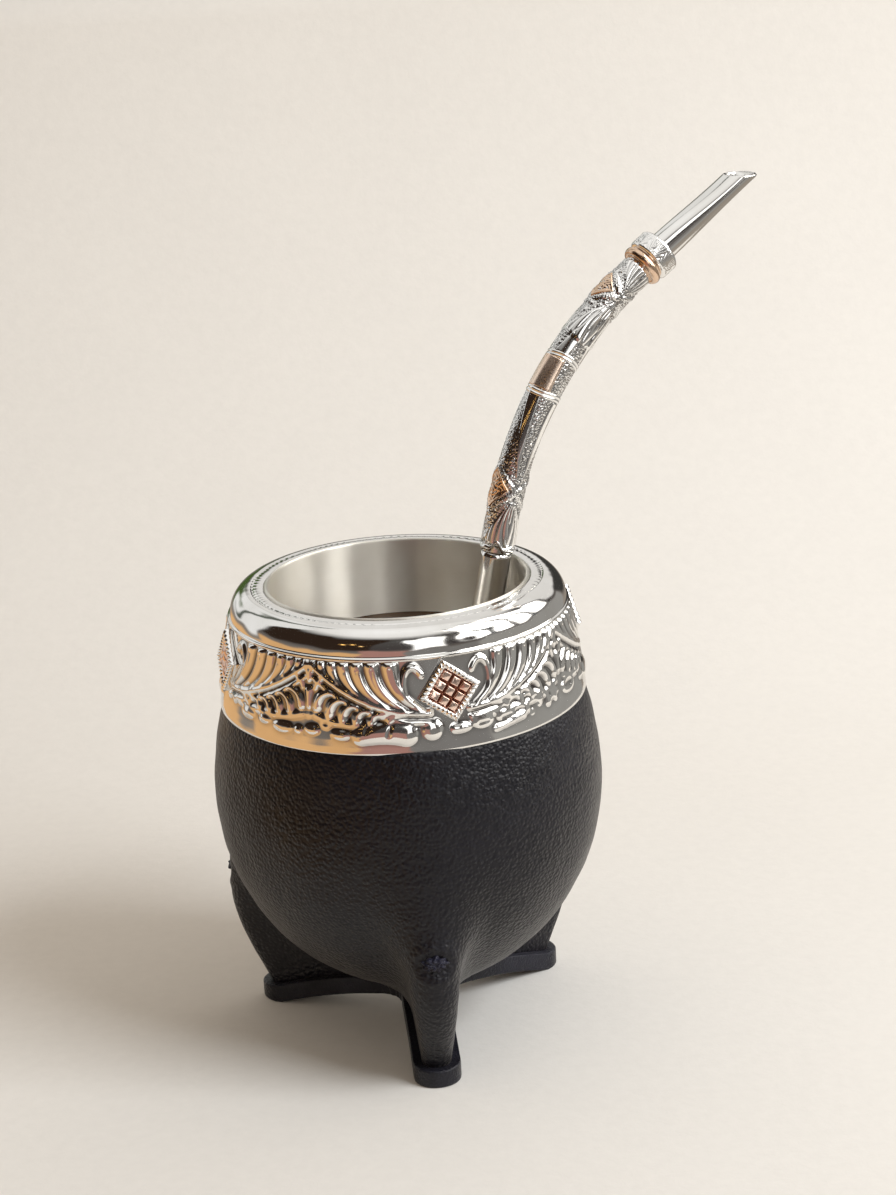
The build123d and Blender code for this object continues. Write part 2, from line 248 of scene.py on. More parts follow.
# one bump on another
def bumpOf(tree, height, strength, distance, before=None):
    bump = addNode(tree, "ShaderNodeBump", {"Strength": strength, "Distance": distance})
    tree.links.new(height, bump.inputs["Height"])
    if before is not None:
        tree.links.new(before, bump.inputs["Normal"])
    return bump.outputs["Normal"]


# black leather: grain = smooth cells shifted by noise, so pebbles join into short wrinkles
def leatherMaterial(name, look):
    material, tree, shader = startMaterial(
        name,
        Specular_IOR_Level=look["specular"],
        Sheen_Weight=look["sheen"],
        Sheen_Roughness=0.4,
        Sheen_Tint=(*look["sheenTint"], 1),
    )
    vector = objectCoordinates(tree)
    shift = addNode(tree, "ShaderNodeTexNoise", {"Scale": 0.55 / look["pebble"], "Detail": 2.0})
    tree.links.new(vector, shift.inputs["Vector"])
    wander = (look["pebble"] * look["wander"],) * 3
    away = addNode(tree, "ShaderNodeVectorMath", {1: wander}, operation="MULTIPLY")
    tree.links.new(shift.outputs["Color"], away.inputs[0])
    moved = addNode(tree, "ShaderNodeVectorMath", operation="ADD")
    tree.links.new(vector, moved.inputs[0])
    tree.links.new(away.outputs["Vector"], moved.inputs[1])
    cell = {"Scale": 1 / look["pebble"], "Smoothness": 0.35}
    cells = addNode(tree, "ShaderNodeTexVoronoi", cell, feature="SMOOTH_F1")
    tree.links.new(moved.outputs["Vector"], cells.inputs["Vector"])
    pebbles = rangeOf(tree, cells.outputs["Distance"], 0.05, 0.75, 1.0, 0.0)
    pores = noiseAt(tree, vector, look["pebble"] * 0.3, 2.0)
    patches = noiseAt(tree, vector, look["patch"], 4.0)
    folds = noiseAt(tree, vector, look["pebble"] * 4.0, 3.0)
    first = bumpOf(tree, pebbles, look["grainStrength"], look["grainDepth"])
    second = bumpOf(tree, folds, 0.45, look["grainDepth"] * 1.6, first)
    third = bumpOf(tree, pores, 0.25, look["grainDepth"] * 0.3, second)
    tree.links.new(third, shader.inputs["Normal"])
    colour = rampOf(tree, patches, [(0.3, look["dark"]), (0.7, look["light"])])
    # painted highlight: the pebble tops are mixed towards a lighter, bluer crest colour
    crestHighlight = addNode(tree, "ShaderNodeMix", {"B": (*look["crest"], 1)}, data_type="RGBA")
    tree.links.new(colour, crestHighlight.inputs["A"])
    tree.links.new(rangeOf(tree, pebbles, 0.55, 1.0, 0.0, look["crestShare"]), crestHighlight.inputs["Factor"])
    tree.links.new(crestHighlight.outputs["Result"], shader.inputs["Base Color"])
    tree.links.new(rangeOf(tree, patches, 0.3, 0.7, *look["roughness"]), shader.inputs["Roughness"])
    return material


# polished or brushed metal: roughness wanders with noise, a faint bump follows the brushing,
# and colour = clean metal mixed with a dark painted shade by the stored hollow
def metalMaterial(name, look):
    material, tree, shader = startMaterial(name, Metallic=1.0)
    if "brushed" in look:
        shader.inputs["Anisotropic"].default_value = look["brushed"]
        shader.inputs["Anisotropic Rotation"].default_value = 0.25
        around = addNode(tree, "ShaderNodeTangent", direction_type="RADIAL", axis="Z")
        tree.links.new(around.outputs["Tangent"], shader.inputs["Tangent"])
    vector = objectCoordinates(tree, look.get("stretch", (1, 1, 1)))
    grain = noiseAt(tree, vector, look["grain"], 4.0, 0.6)
    tone = noiseAt(tree, objectCoordinates(tree), look["patch"], 3.0)
    colour = rampOf(tree, tone, [(0.3, look["dark"]), (0.7, look["light"])])
    # painted shade: the recesses are mixed towards a dark colour by the stored hollow share
    if "hollowShade" in look:
        stored = addNode(tree, "ShaderNodeAttribute", attribute_name="hollow")
        shadedHollows = addNode(tree, "ShaderNodeMix", {"B": (*look["hollowShade"], 1)}, data_type="RGBA")
        tree.links.new(stored.outputs["Fac"], shadedHollows.inputs["Factor"])
        tree.links.new(colour, shadedHollows.inputs["A"])
        colour = shadedHollows.outputs["Result"]
    tree.links.new(colour, shader.inputs["Base Color"])
    tree.links.new(rangeOf(tree, grain, 0.3, 0.7, *look["roughness"]), shader.inputs["Roughness"])
    tree.links.new(bumpOf(tree, grain, look["bump"], look["depth"]), shader.inputs["Normal"])
    return material


bodyLook = {
    "dark": (0.0016, 0.0015, 0.0036),
    "light": (0.0038, 0.0035, 0.0066),
    # painted highlight colour for the pebble tops
    "crest": (0.0062, 0.0062, 0.0102),
    "crestShare": 0.3,
    "specular": 0.34,
    "sheen": 0.085,
    "sheenTint": (0.80, 0.72, 0.62),
    "roughness": (0.34, 0.44),
    "pebble": 0.85 * mm,
    "wander": 0.75,
    "patch": 14 * mm,
    "grainStrength": 0.9,
    "grainDepth": 0.22 * mm,
}
soleLook = dict(
    bodyLook,
    light=(0.016, 0.016, 0.024),
    sheen=0.05,
    roughness=(0.34, 0.46),
    pebble=0.5 * mm,
    grainDepth=0.10 * mm,
)
knotLook = dict(
    bodyLook,
    dark=(0.004, 0.004, 0.010),
    light=(0.010, 0.010, 0.026),
    # painted highlight colour for the knots' pebble tops
    crest=(0.02, 0.022, 0.05),
    roughness=(0.30, 0.42),
    pebble=0.6 * mm,
)
silverLook = {
    "dark": (0.80, 0.785, 0.755),
    "light": (0.88, 0.87, 0.85),
    "roughness": (0.05, 0.11),
    "grain": 0.35 * mm,
    "patch": 9 * mm,
    "bump": 0.08,
    "depth": 0.02 * mm,
    # painted shade colour for the hollows of the relief
    "hollowShade": (0.10, 0.09, 0.085),
}
chasedLook = dict(
    silverLook,
    dark=(0.86, 0.85, 0.83),
    light=(0.95, 0.94, 0.92),
    roughness=(0.07, 0.16),
    grain=0.18 * mm,
    bump=0.2,
)
linerLook = {
    "dark": (0.88, 0.84, 0.76),
    "light": (0.97, 0.94, 0.87),
    "roughness": (0.40, 0.52),
    "brushed": 0.95,
    "grain": 1.0,
    "stretch": (70, 70, 5200),
    "patch": 12 * mm,
    "bump": 0.22,
    "depth": 0.03 * mm,
}
copperLook = dict(
    silverLook,
    dark=(0.82, 0.58, 0.47),
    light=(0.93, 0.72, 0.62),
    roughness=(0.15, 0.22),
    # painted shade colour for the grooves between the tiles and other hollows
    hollowShade=(0.28, 0.10, 0.06),
)
panelLook = dict(copperLook, dark=(0.95, 0.70, 0.54), light=(1.0, 0.84, 0.70), roughness=(0.24, 0.32))
bronzeLook = dict(silverLook, dark=(0.68, 0.47, 0.32), light=(0.85, 0.63, 0.47), roughness=(0.14, 0.24))

leather = leatherMaterial("blackPebbledLeather", bodyLook)
soleLeather = leatherMaterial("soleLeather", soleLook)
knotLeather = leatherMaterial("knotLeather", knotLook)
silver = metalMaterial("polishedSilver", silverLook)
chased = metalMaterial("chasedSilver", chasedLook)
brushed = metalMaterial("brushedLiner", linerLook)
copper = metalMaterial("pinkCopper", copperLook)
bronze = metalMaterial("warmBronze", bronzeLook)
panelCopper = metalMaterial("satinCopper", panelLook)
print("materials ready")


body = {
    "middle": 56.5,
    "radius": 42.0,
    "depth": 46.5,
    "rise": 51.7,
    "seatHeight": 76.0,
    "seatRadius": 38.9,
    "legTurns": (-86.0, 37.0, 158.0),
    "legHeights": (3, 8, 12.5, 17.5, 22, 26, 31, 38, 46, 56),
    "legReach": (35.6, 38.2, 40.6, 42.6, 43.8, 44.2, 43.9, 42.8, 41.2, 37.5),
    "legHalfWidth": (3.1, 3.55, 4.0, 4.5, 5.0, 5.5, 6.3, 7.6, 9.0, 9.5),
    "blend": 7.0,
    "dimpleDepth": 0.7,
    "dimpleHeight": 31.0,
    "innerRadius": (38.6, 37.0, 36.9, 35.6, 28.4, 28.4, 31.0, 34.7, 34.7, 30.5, 22.0, 9.0),
    "innerHeight": (76.1, 76.2, 79.0, 94.0, 100.2, 78.3, 72.0, 58.0, 46.0, 30.0, 21.0, 17.6),
    "lumps": (26.0, 0.16),  # length and height
    "fineLumps": (7.0, 0.04),
    "columns": 110,
    "rows": 200,
    "walkFrom": 74.0,
    "walkSteps": 90,
}
sole = {
    "thickness": 4.0,
    "rise": 5.5,
    "padStart": 33.0,
    "armLength": 33.0,
    "halfWidth": 5.1,
    "corner": 3.4,
    "edgeRound": 0.55,
    "uneven": 0.12,
    "lumps": (5.0, 0.05),
    "columns": 120,
    "rings": 26,
}


# height of the sole's arched underside: highest on the axis, nothing from the pads outwards
def archHeight(radius):
    return sole["rise"] * np.clip(1 - (radius / sole["padStart"]) ** 2, 0, None)


# smooth curve through named points, by one cubic per gap with slopes taken from the neighbours
def smoothThrough(x, knotsX, knotsY):
    knotsX, knotsY = np.asarray(knotsX, float), np.asarray(knotsY, float)
    slopes = np.gradient(knotsY, knotsX)
    x = np.clip(x, knotsX[0], knotsX[-1])
    i = np.clip(np.searchsorted(knotsX, x) - 1, 0, len(knotsX) - 2)
    width = knotsX[i + 1] - knotsX[i]
    t = (x - knotsX[i]) / width
    return (
        (1 + 2 * t) * (1 - t) ** 2 * knotsY[i]
        + t * (1 - t) ** 2 * width * slopes[i]
        + t * t * (3 - 2 * t) * knotsY[i + 1]
        + t * t * (t - 1) * width * slopes[i + 1]
    )


# the smaller of two distances, with a soft fillet of that size where they meet
def blended(first, second, size):
    share = np.clip(0.5 + 0.5 * (second - first) / size, 0, 1)
    return second * (1 - share) + first * share - size * share * (1 - share)


# distance outside the belly and its legs, blended into each other like clay
def bodyDistance(x, y, z):
    radius = np.hypot(x, y)
    up = z - body["middle"]
    tall = np.where(up < 0, body["depth"], body["rise"])
    first = np.hypot(radius / body["radius"], up / tall)
    second = np.hypot(radius / body["radius"] ** 2, up / tall**2) + 1e-9
    total = first * (first - 1) / second
    reach = smoothThrough(z, body["legHeights"], body["legReach"])
    half = smoothThrough(z, body["legHeights"], body["legHalfWidth"])
    for turn in np.radians(body["legTurns"]):
        along = x * np.cos(turn) + y * np.sin(turn)
        across = -x * np.sin(turn) + y * np.cos(turn)
        leg = np.hypot(along - np.clip(along, 0, reach - half), across) - half
        dimple = (along - reach) ** 2 + across**2 + 1.6 * (z - body["dimpleHeight"]) ** 2
        leg = leg + body["dimpleDepth"] * np.exp(-dimple / 9.0) - 0.35 * np.exp(-((dimple - 22) / 14) ** 2)
        total = blended(total, leg, body["blend"])
    return total


# angles once round that crowd towards the legs: an even spacing mixed with a power curve per gap
def crowdedAngles(perLeg, power, even):
    turns = np.sort(np.radians(np.asarray(body["legTurns"])))
    nextTurns = np.roll(turns, -1) + np.array([0, 0, 2 * np.pi])
    s = np.linspace(0, 1, perLeg, endpoint=False)
    crowd = np.where(s < 0.5, 0.5 * (2 * s) ** power, 1 - 0.5 * (2 - 2 * s) ** power)
    shares = even * s + (1 - even) * crowd
    return np.concatenate([a + (b - a) * shares for a, b in zip(turns, nextTurns)])


# radius along rays from the middle of the belly, found by walking in from outside
def bodySurface():
    angles = crowdedAngles(body["columns"], 2.1, 0.25)
    top = np.arctan((body["seatHeight"] - body["middle"]) / body["seatRadius"])
    t = np.linspace(0.012, 1, body["rows"])
    tilts = -np.pi / 2 + (np.pi / 2 + top) * (0.8 * t + 0.2 * t**2)
    tilts, turnsGrid = np.meshgrid(tilts, angles, indexing="ij")
    dx = np.cos(tilts) * np.cos(turnsGrid)
    dy = np.cos(tilts) * np.sin(turnsGrid)
    dz = np.sin(tilts)
    far = np.full(tilts.shape, body["walkFrom"])
    for _ in range(body["walkSteps"]):
        x, y, z = far * dx, far * dy, body["middle"] + far * dz
        floor = archHeight(np.hypot(x, y)) + 0.5 * sole["thickness"] - z
        far = far - 0.7 * np.maximum(bodyDistance(x, y, z), floor * 0.9)
    points = np.stack([far * dx, far * dy, body["middle"] + far * dz], -1)
    out = np.stack([dx, dy, dz], -1)
    lumps = gentleUneven(points, *body["lumps"], 3) + gentleUneven(points, *body["fineLumps"], 4)
    points = points + out * (lumps * easeBetween(-points[..., 2], -75, -70))[..., None]
    inner = turned(body["innerRadius"], body["innerHeight"], angles)
    return closedSurface(np.concatenate([points, inner]))


makePiece("leatherBody", [bodySurface()], leather, ["leather_body"])


# the star's edge: along each direction, the farthest of three rounded arms blended at the middle
def starEdge(angles):
    radius = np.full(angles.shape, 60.0)
    dx, dy = np.cos(angles), np.sin(angles)
    for _ in range(60):
        total = np.full(angles.shape, 99.0)
        for turn in np.radians(body["legTurns"]):
            along = radius * (dx * np.cos(turn) + dy * np.sin(turn))
            across = radius * (-dx * np.sin(turn) + dy * np.cos(turn))
            arm = np.hypot(along - np.clip(along, 0, sole["armLength"]), across) - sole["halfWidth"]
            total = blended(total, arm, sole["corner"])
        radius = radius - 0.8 * total
    return radius


# the sole: rings from the middle out to the star's edge, over its rounded rim and back
def soleSurface():
    angles = crowdedAngles(sole["columns"], 2.3, 0.2)
    edge = starEdge(angles)
    edge = edge + sole["uneven"] * np.sin(23 * angles) * np.sin(7 * angles + 1)
    r = sole["edgeRound"]
    arc = np.linspace(0, np.pi / 2, 6)
    thick = sole["thickness"]
    sine, cosine = np.sin(arc), np.cos(arc)
    inset = np.concatenate([r * (1 - sine), np.zeros(3), r * (1 - cosine)])
    side = np.linspace(r * 1.5, thick - r * 1.5, 3)
    lift = np.concatenate([r * (1 - cosine), side, thick - r + r * sine])
    outline = edge[None] - inset[:, None]
    shares = np.linspace(0.03, 0.97, sole["rings"])
    below = shares[:, None] * (edge - r)[None]
    radii = np.concatenate([below, outline, below[::-1]])
    lifts = np.concatenate([np.zeros(sole["rings"]), lift, np.full(sole["rings"], thick)])[:, None]
    heights = archHeight(radii) + lifts
    grid = turned(radii, heights, angles)
    grid[..., 2] += np.where(lifts > thick / 2, gentleUneven(grid, *sole["lumps"], 8), 0)
    return closedSurface(grid)


makePiece("soleStar", [soleSurface()], soleLeather, ["sole"])

knot = {
    "length": 2.6,
    "height": 1.65,
    "depth": 1.3,
    "radius": 43.3,
    "lift": 31.4,
    "folds": 0.13,
    "dent": 0.35,
}


# a knot: a ball squashed to an oval, with folds that run from its middle and twist
def knotSurface(turn, seed):
    t = np.linspace(0.02, np.pi - 0.02, 40)[:, None]
    a = fullTurn(64)[None]
    twist = np.random.default_rng(seed).uniform(0, 6.3)
    crease = np.sin(9 * a + 3 * t + twist) + 0.7 * np.sin(5 * a - 4 * t + 2 * twist)
    fold = 1 + knot["folds"] * np.sin(t) * crease
    across = knot["length"] * np.sin(t) * np.cos(a) * fold
    up = knot["height"] * np.sin(t) * np.sin(a) * fold
    out = knot["depth"] * np.cos(t) * fold - knot["dent"] * np.exp(-(t**2) / 0.12)
    radial = knot["radius"] + out
    x = radial * np.cos(turn) - across * np.sin(turn)
    y = radial * np.sin(turn) + across * np.cos(turn)
    return closedSurface(np.stack([x, y, knot["lift"] + up + 0 * x], -1))


for number, turn in enumerate(np.radians(body["legTurns"]), start=1):
    surface = knotSurface(turn, number)
    makePiece(f"legKnot{number}", [surface], knotLeather, [f"leg_knot_{number}"])


collar = {
    "columns": 1080,
    "reliefRows": 80,
    "reliefHeight": 0.85,
    "softening": 3,
    "footRadius": 38.1,
    "middleRadius": 37.4,
    "topRadius": 36.0,
    "reliefLow": 77.6,
    "wallFoot": 79.2,
    "reliefHigh": 95.2,
    "skirt": 1.2,
    "thickness": 0.9,
    "borderRadius": (37.25, 38.9, 39.2, 39.32, 39.33, 39.27),
    "borderHeight": (76.02, 76.0, 76.08, 76.3, 76.6, 77.0),
    "innerHeight": (95.2, 90.0, 85.0, 80.0),
    "hollowBlur": 14,
    "hollowFull": 0.23,
    "bossTurn": -75.9,
    "mmPerDegree": 0.651,
    "stemLow": 84.2,
    "stemClimb": 10.5,
    "stemPower": 1.9,
    "fingerTop": 94.35,
    "fingerFeet": (8.6, 13.6, 19.6, 25.4, 30.8, 35.8, 40.2),
    "fingerTips": (18.2, 24.0, 28.9, 33.4, 37.3, 40.8, 43.7),
    "lobeFeet": ((13.5, 84.3), (19.0, 84.7), (24.6, 85.3), (29.2, 86.2), (33.0, 87.3), (37.0, 88.6)),
    "lobeTips": ((18.8, 83.3), (24.6, 83.2), (29.2, 83.3), (33.6, 83.6), (38.0, 84.2), (42.2, 85.4)),
}


# radius of the collar's bare wall at a height: a skirt that flares at its foot, then a shallow bulge
def wallRadius(z):
    low, high = collar["wallFoot"], collar["reliefHigh"]
    t = np.clip((z - low) / (high - low), 0, 1)
    straight = collar["footRadius"] * (1 - t) + collar["topRadius"] * t
    bulge = collar["middleRadius"] - (collar["footRadius"] + collar["topRadius"]) / 2
    flare = collar["skirt"] * np.clip((low + 4.8 - z) / 7, 0, None) ** 1.15
    return straight + bulge * 4 * t * (1 - t) + flare


# height of the stem's middle line at x millimetres from a boss
def stemHeight(x):
    u = np.clip((x / collar["mmPerDegree"] - 6) / 40, 0, None)
    return collar["stemLow"] + collar["stemClimb"] * u ** collar["stemPower"]


# half-round ridge: discs swept along a line, height from the nearest disc's share of its radius
def ridge(x, z, lineX, lineZ, radii, height):
    total = np.zeros(x.shape)
    near = (x > lineX.min() - 3) & (x < lineX.max() + 3)
    px, pz = x[near][:, None], z[near][:, None]
    share = (np.hypot(px - lineX[None], pz - lineZ[None]) / radii[None]).min(1)
    total[near] = height * np.clip(1 - share**2, 0, 1) ** 0.8
    return total


# ridge along a bent line from start to end, pulled towards a point, its width easing between two radii
def bentRidge(x, z, start, pull, end, radiusStart, radiusEnd, height):
    t = np.linspace(0, 1, 34)
    lineX = (1 - t) ** 2 * start[0] + 2 * t * (1 - t) * pull[0] + t**2 * end[0]
    lineZ = (1 - t) ** 2 * start[1] + 2 * t * (1 - t) * pull[1] + t**2 * end[1]
    radii = radiusStart + (radiusEnd - radiusStart) * t**0.8
    return ridge(x, z, lineX, lineZ, radii, height)


# oval bead: half round over an ellipse
def bead(x, z, cx, cz, halfX, halfZ, height):
    share = ((x - cx) / halfX) ** 2 + ((z - cz) / halfZ) ** 2
    return height * np.clip(1 - share, 0, 1) ** 0.6


# ring: a round ridge along an ellipse
def loop(x, z, cx, cz, halfX, halfZ, height):
    share = np.hypot((x - cx) / halfX, (z - cz) / halfZ)
    return height * np.exp(-(((share - 0.75) / 0.2) ** 2))


# flower: an oval bead whose edge swells into five petals round a small middle
def flower(x, z, cx, cz, size, height):
    angle = np.arctan2(z - cz, x - cx)
    share = np.hypot(x - cx, z - cz) / (size * (0.82 + 0.18 * np.cos(5 * angle)))
    return height * np.clip(1 - share**2, 0, 1) ** 0.5 - 0.5 * height * np.exp(-((share / 0.28) ** 2))


# leaves beside one boss, x millimetres away from it: stem, fingers above it and lobes below it
def leafPattern(x, z):
    k = collar["mmPerDegree"]
    half = 45 * k
    lineX = np.linspace(4.2, half + 1.5, 90)
    lineZ = stemHeight(lineX)
    slope = np.gradient(lineZ, lineX)
    lean = np.hypot(1, slope)
    swell = np.sin(np.pi * np.clip(lineX / half, 0, 1)) ** 0.7
    total = ridge(x, z, lineX, lineZ, 0.45 + 0.42 * swell, 1.0)
    edgeX, edgeZ = lineX + 1.75 * slope / lean, lineZ - 1.75 / lean
    total = np.maximum(total, ridge(x, z, edgeX, edgeZ, 0.3 + 0.28 * swell, 0.72))
    for foot, tip in zip(collar["fingerFeet"], collar["fingerTips"]):
        footX, tipX = foot * k, tip * k
        footZ = stemHeight(footX) + 0.55
        tipZ = collar["fingerTop"]
        tall = tipZ - footZ
        start, pull, end = (footX, footZ), (tipX - 0.06 * tall, footZ + 0.34 * tall), (tipX, tipZ)
        width = 0.66 + 0.092 * tall
        finger = bentRidge(x, z, start, pull, end, 0.5, width, 0.95)
        start, end = (footX + 0.9, footZ + 0.35), (tipX - 0.1, tipZ - 0.9)
        vein = bentRidge(x, z, start, pull, end, 0.28, 0.36 * width, 0.34)
        total = np.maximum(total, finger - vein)
    for (foot, footZ), (tip, tipZ) in zip(collar["lobeFeet"], collar["lobeTips"]):
        start, end = (foot * k, footZ), (tip * k, tipZ)
        pull = (end[0] - 0.25, start[1] + 0.15)
        total = np.maximum(total, bentRidge(x, z, start, pull, end, 0.5, 1.02, 0.85))
    ribX = np.linspace(8.0, 27.6, 60)
    ribZ = 82.15 + 0.9 * np.clip((ribX - 14) / 13.6, -1, 1) ** 2
    ribZ = ribZ + 0.7 * np.clip((ribX - 22) / 5.6, 0, 1) ** 1.5
    total = np.maximum(total, ridge(x, z, ribX, ribZ, np.full(60, 0.8), 0.5))
    hook = bentRidge(x, z, (8.4, 87.3), (9.9, 90.6), (8.6, 93.0), 0.45, 0.6, 0.7)
    hookTop = bentRidge(x, z, (8.6, 93.0), (7.0, 95.0), (5.3, 91.9), 0.6, 0.4, 0.7)
    total = np.maximum.reduce([total, hook, hookTop])
    bud = bentRidge(x, z, (half, 92.9), (half, 91.8), (half, 90.8), 1.25, 0.5, 0.8)
    curl = bentRidge(x, z, (half - 2.6, 91.2), (half - 1.7, 90.6), (half - 1.5, 89.2), 0.75, 0.4, 0.7)
    drop = bentRidge(x, z, (half, 88.8), (half, 87), (half, 85.2), 0.95, 0.45, 0.75)
    return np.maximum.reduce([total, bud, curl, drop])


# the row of beads, petals and rings below the leaves; a is degrees round from the sector's first boss
lowerRow = {
    "left": {
        "beads": [
            (4.5, 82.2, 1.3, 0.8), (9.5, 82.0, 1.2, 0.75), (19.1, 81.0, 2.7, 1.15),
            (27.7, 81.0, 1.95, 0.95), (35.4, 80.4, 2.65, 1.15), (41.5, 80.4, 0.95, 0.75),
            (46.3, 80.8, 1.7, 0.9), (56.1, 80.3, 2.2, 1.05), (76.7, 81.0, 1.95, 1.75),
            (83.9, 81.0, 2.1, 2.0),
        ],
        "loops": [(51.0, 82.3, 1.2, 1.0), (45.0, 83.7, 0.7, 0.5)],
        "petals": [(62.0, 80.2, 70.0, 81.6, 76.0, 80.6)],
        "veins": [(63.9, 81.2, 68.3, 83.2), (70.6, 80.2, 72.8, 83.4)],
        "flowers": [],
        "scallops": [(66.0, 84.2, 80.0, 84.9)],
    },
    "right": {
        "beads": [
            (2.4, 80.5, 2.6, 0.8), (9.9, 81.4, 2.6, 1.6), (18.1, 81.5, 2.6, 1.6),
            (62.5, 80.8, 2.2, 1.0), (76.7, 81.0, 1.95, 1.75), (83.9, 81.0, 2.1, 2.0),
        ],
        "loops": [(49.4, 81.5, 3.2, 1.45), (28.2, 79.9, 0.7, 0.5), (31.9, 81.3, 0.8, 0.8)],
        "petals": [(66.5, 80.6, 70.0, 81.4, 74.0, 80.4)],
        "veins": [(8.6, 80.7, 11.8, 80.9), (16.6, 80.8, 20.0, 81.0), (47.0, 81.2, 51.5, 81.8)],
        "flowers": [(39.4, 81.9, 2.05)],
        "scallops": [
            (22.6, 82.2, 26.2, 81.0), (26.0, 83.9, 32.6, 81.9), (31.6, 83.4, 36.0, 80.6),
            (14.0, 78.9, 24.4, 80.3),
        ],
    },
}


# adds up one sector's lower row, x millimetres round from its first boss
def lowerPattern(x, z, row):
    k = collar["mmPerDegree"]
    total = np.zeros(x.shape)
    for a, cz, halfX, halfZ in row["beads"]:
        total = np.maximum(total, bead(x, z, a * k, cz, halfX, halfZ, 0.7))
    for a, cz, halfX, halfZ in row["loops"]:
        total = np.maximum(total, loop(x, z, a * k, cz, halfX, halfZ, 0.5))
    for a, cz, size in row["flowers"]:
        total = np.maximum(total, flower(x, z, a * k, cz, size, 0.75))
    for a1, z1, a2, z2 in row["scallops"]:
        start, pull, end = (a1 * k, z1), (a2 * k, max(z1, z2)), (a2 * k, z2)
        total = np.maximum(total, bentRidge(x, z, start, pull, end, 0.4, 1.0, 0.75))
    for a1, z1, a2, z2, a3, z3 in row["petals"]:
        petal = bentRidge(x, z, (a1 * k, z1), (a2 * k, z2), (a3 * k, z3), 1.9, 2.5, 0.95)
        total = np.maximum(total, petal)
    for a1, z1, a2, z2 in row["veins"]:
        pull = ((a1 * 0.7 + a2 * 0.3) * k, z1 * 0.3 + z2 * 0.7)
        total = total - bentRidge(x, z, (a1 * k, z1), pull, (a2 * k, z2), 0.34, 0.26, 0.5)
    return np.clip(total, 0, None)


# relief over one quarter of the collar, mirrored leaves above and its own row below
def sectorRelief(x, z, row):
    width = 90 * collar["mmPerDegree"]
    leaves = leafPattern(np.minimum(x, width - x), z)
    total = np.maximum(leaves, lowerPattern(x, z, row))
    ends = easeBetween(z, 77.7, 78.4) * (1 - easeBetween(z, 94.9, 95.15))
    return total * ends


# the band: rolled border, embossed wall, and its plain inner side
def collarBand():
    perSector = collar["columns"] // 4
    shares = np.arange(perSector) / perSector
    x = shares * 90 * collar["mmPerDegree"]
    z = np.linspace(collar["reliefLow"], collar["reliefHigh"], collar["reliefRows"])
    xs, zs = np.meshgrid(x, z)
    flat = (xs.ravel(), zs.ravel())
    left = sectorRelief(*flat, lowerRow["left"]).reshape(xs.shape)
    right = sectorRelief(*flat, lowerRow["right"]).reshape(xs.shape)
    relief = np.concatenate([left, right, left, right], 1) * collar["reliefHeight"]
    relief = blurred(relief, collar["softening"])
    startTurn = np.radians(collar["bossTurn"] - 90)
    angles = startTurn + np.arange(collar["columns"]) * 2 * np.pi / collar["columns"]
    wall = wallRadius(z)[:, None] + relief
    borderR, innerZ = np.array(collar["borderRadius"]), np.array(collar["innerHeight"])
    border = np.broadcast_to(borderR[:, None], (len(borderR), len(angles)))
    innerR = wallRadius(innerZ) - collar["thickness"]
    inner = np.broadcast_to(innerR[:, None], (len(innerZ), len(angles)))
    radii = np.concatenate([border, wall, inner])
    heights = np.concatenate([collar["borderHeight"], z, innerZ])[:, None]
    hollow = np.zeros(radii.shape)
    # mask for the painted shade that darkens the relief's hollows
    hollow[len(borderR) : -len(innerZ)] = hollowOf(relief, collar["hollowBlur"], collar["hollowFull"])
    return ringSurface(turned(radii, heights, angles)), hollow


rim = {
    "beadRadius": 36.0,
    "beadHeight": 95.42,
    "beadHalf": 0.45,
    "shoulderRadius": 31.3,
    "shoulderWidth": 4.65,
    "shoulderHeight": 95.55,
    "shoulderRise": 5.75,
    "lipRadius": (31.15, 31.0, 30.88, 30.76, 30.64, 30.5, 29.8, 29.0, 28.5, 28.3, 28.2),
    "lipHeight": (101.28, 101.1, 101.04, 101.04, 101.1, 101.26, 101.36, 101.4, 101.36, 101.25, 101.0),
    "underRadius": (28.2, 31.2, 33.4, 34.8, 35.1),
    "underHeight": (100.5, 100.4, 99.0, 97.0, 95.0),
    "lumps": (60.0, 0.03),
    "fineLumps": (11.0, 0.02),
    "seamRadius": 30.75,
    "seamHalf": 0.3,
    "seamFrom": 101,
    "seamHeight": 0.03,
    "dotCount": 118,
    "dotHeight": 0.2,
    "columns": 720,
}


# the rim: a thin bead, a rounded shoulder, a fine groove with small dots and a flat lip
def collarRim():
    bend = np.radians(np.linspace(-100, 70, 14))
    beadR = rim["beadRadius"] + rim["beadHalf"] * np.cos(bend)
    beadZ = rim["beadHeight"] + rim["beadHalf"] * np.sin(bend)
    turn = np.radians(np.linspace(4, 90, 34))
    shoulderR = rim["shoulderRadius"] + rim["shoulderWidth"] * np.cos(turn) ** 0.94
    shoulderZ = rim["shoulderHeight"] + rim["shoulderRise"] * np.sin(turn) ** 1.03
    radii = np.concatenate([beadR, shoulderR, rim["lipRadius"], rim["underRadius"]])
    heights = np.concatenate([beadZ, shoulderZ, rim["lipHeight"], rim["underHeight"]])
    angles = fullTurn(rim["columns"])
    grid = turned(radii, heights, angles)
    grid[..., 2] += gentleUneven(grid, *rim["lumps"], 6) + gentleUneven(grid, *rim["fineLumps"], 7)
    seam = np.exp(-(((radii - rim["seamRadius"]) / rim["seamHalf"]) ** 2)) * (heights > rim["seamFrom"])
    dots = np.clip(np.sin(rim["dotCount"] * angles + 2.2 * np.sin(9 * angles)), 0, 1) ** 1.5
    raised = rim["seamHeight"] + rim["dotHeight"] * dots * (0.6 + 0.4 * np.sin(13 * angles))
    grid[..., 2] += seam[:, None] * raised[None]
    return ringSurface(grid)


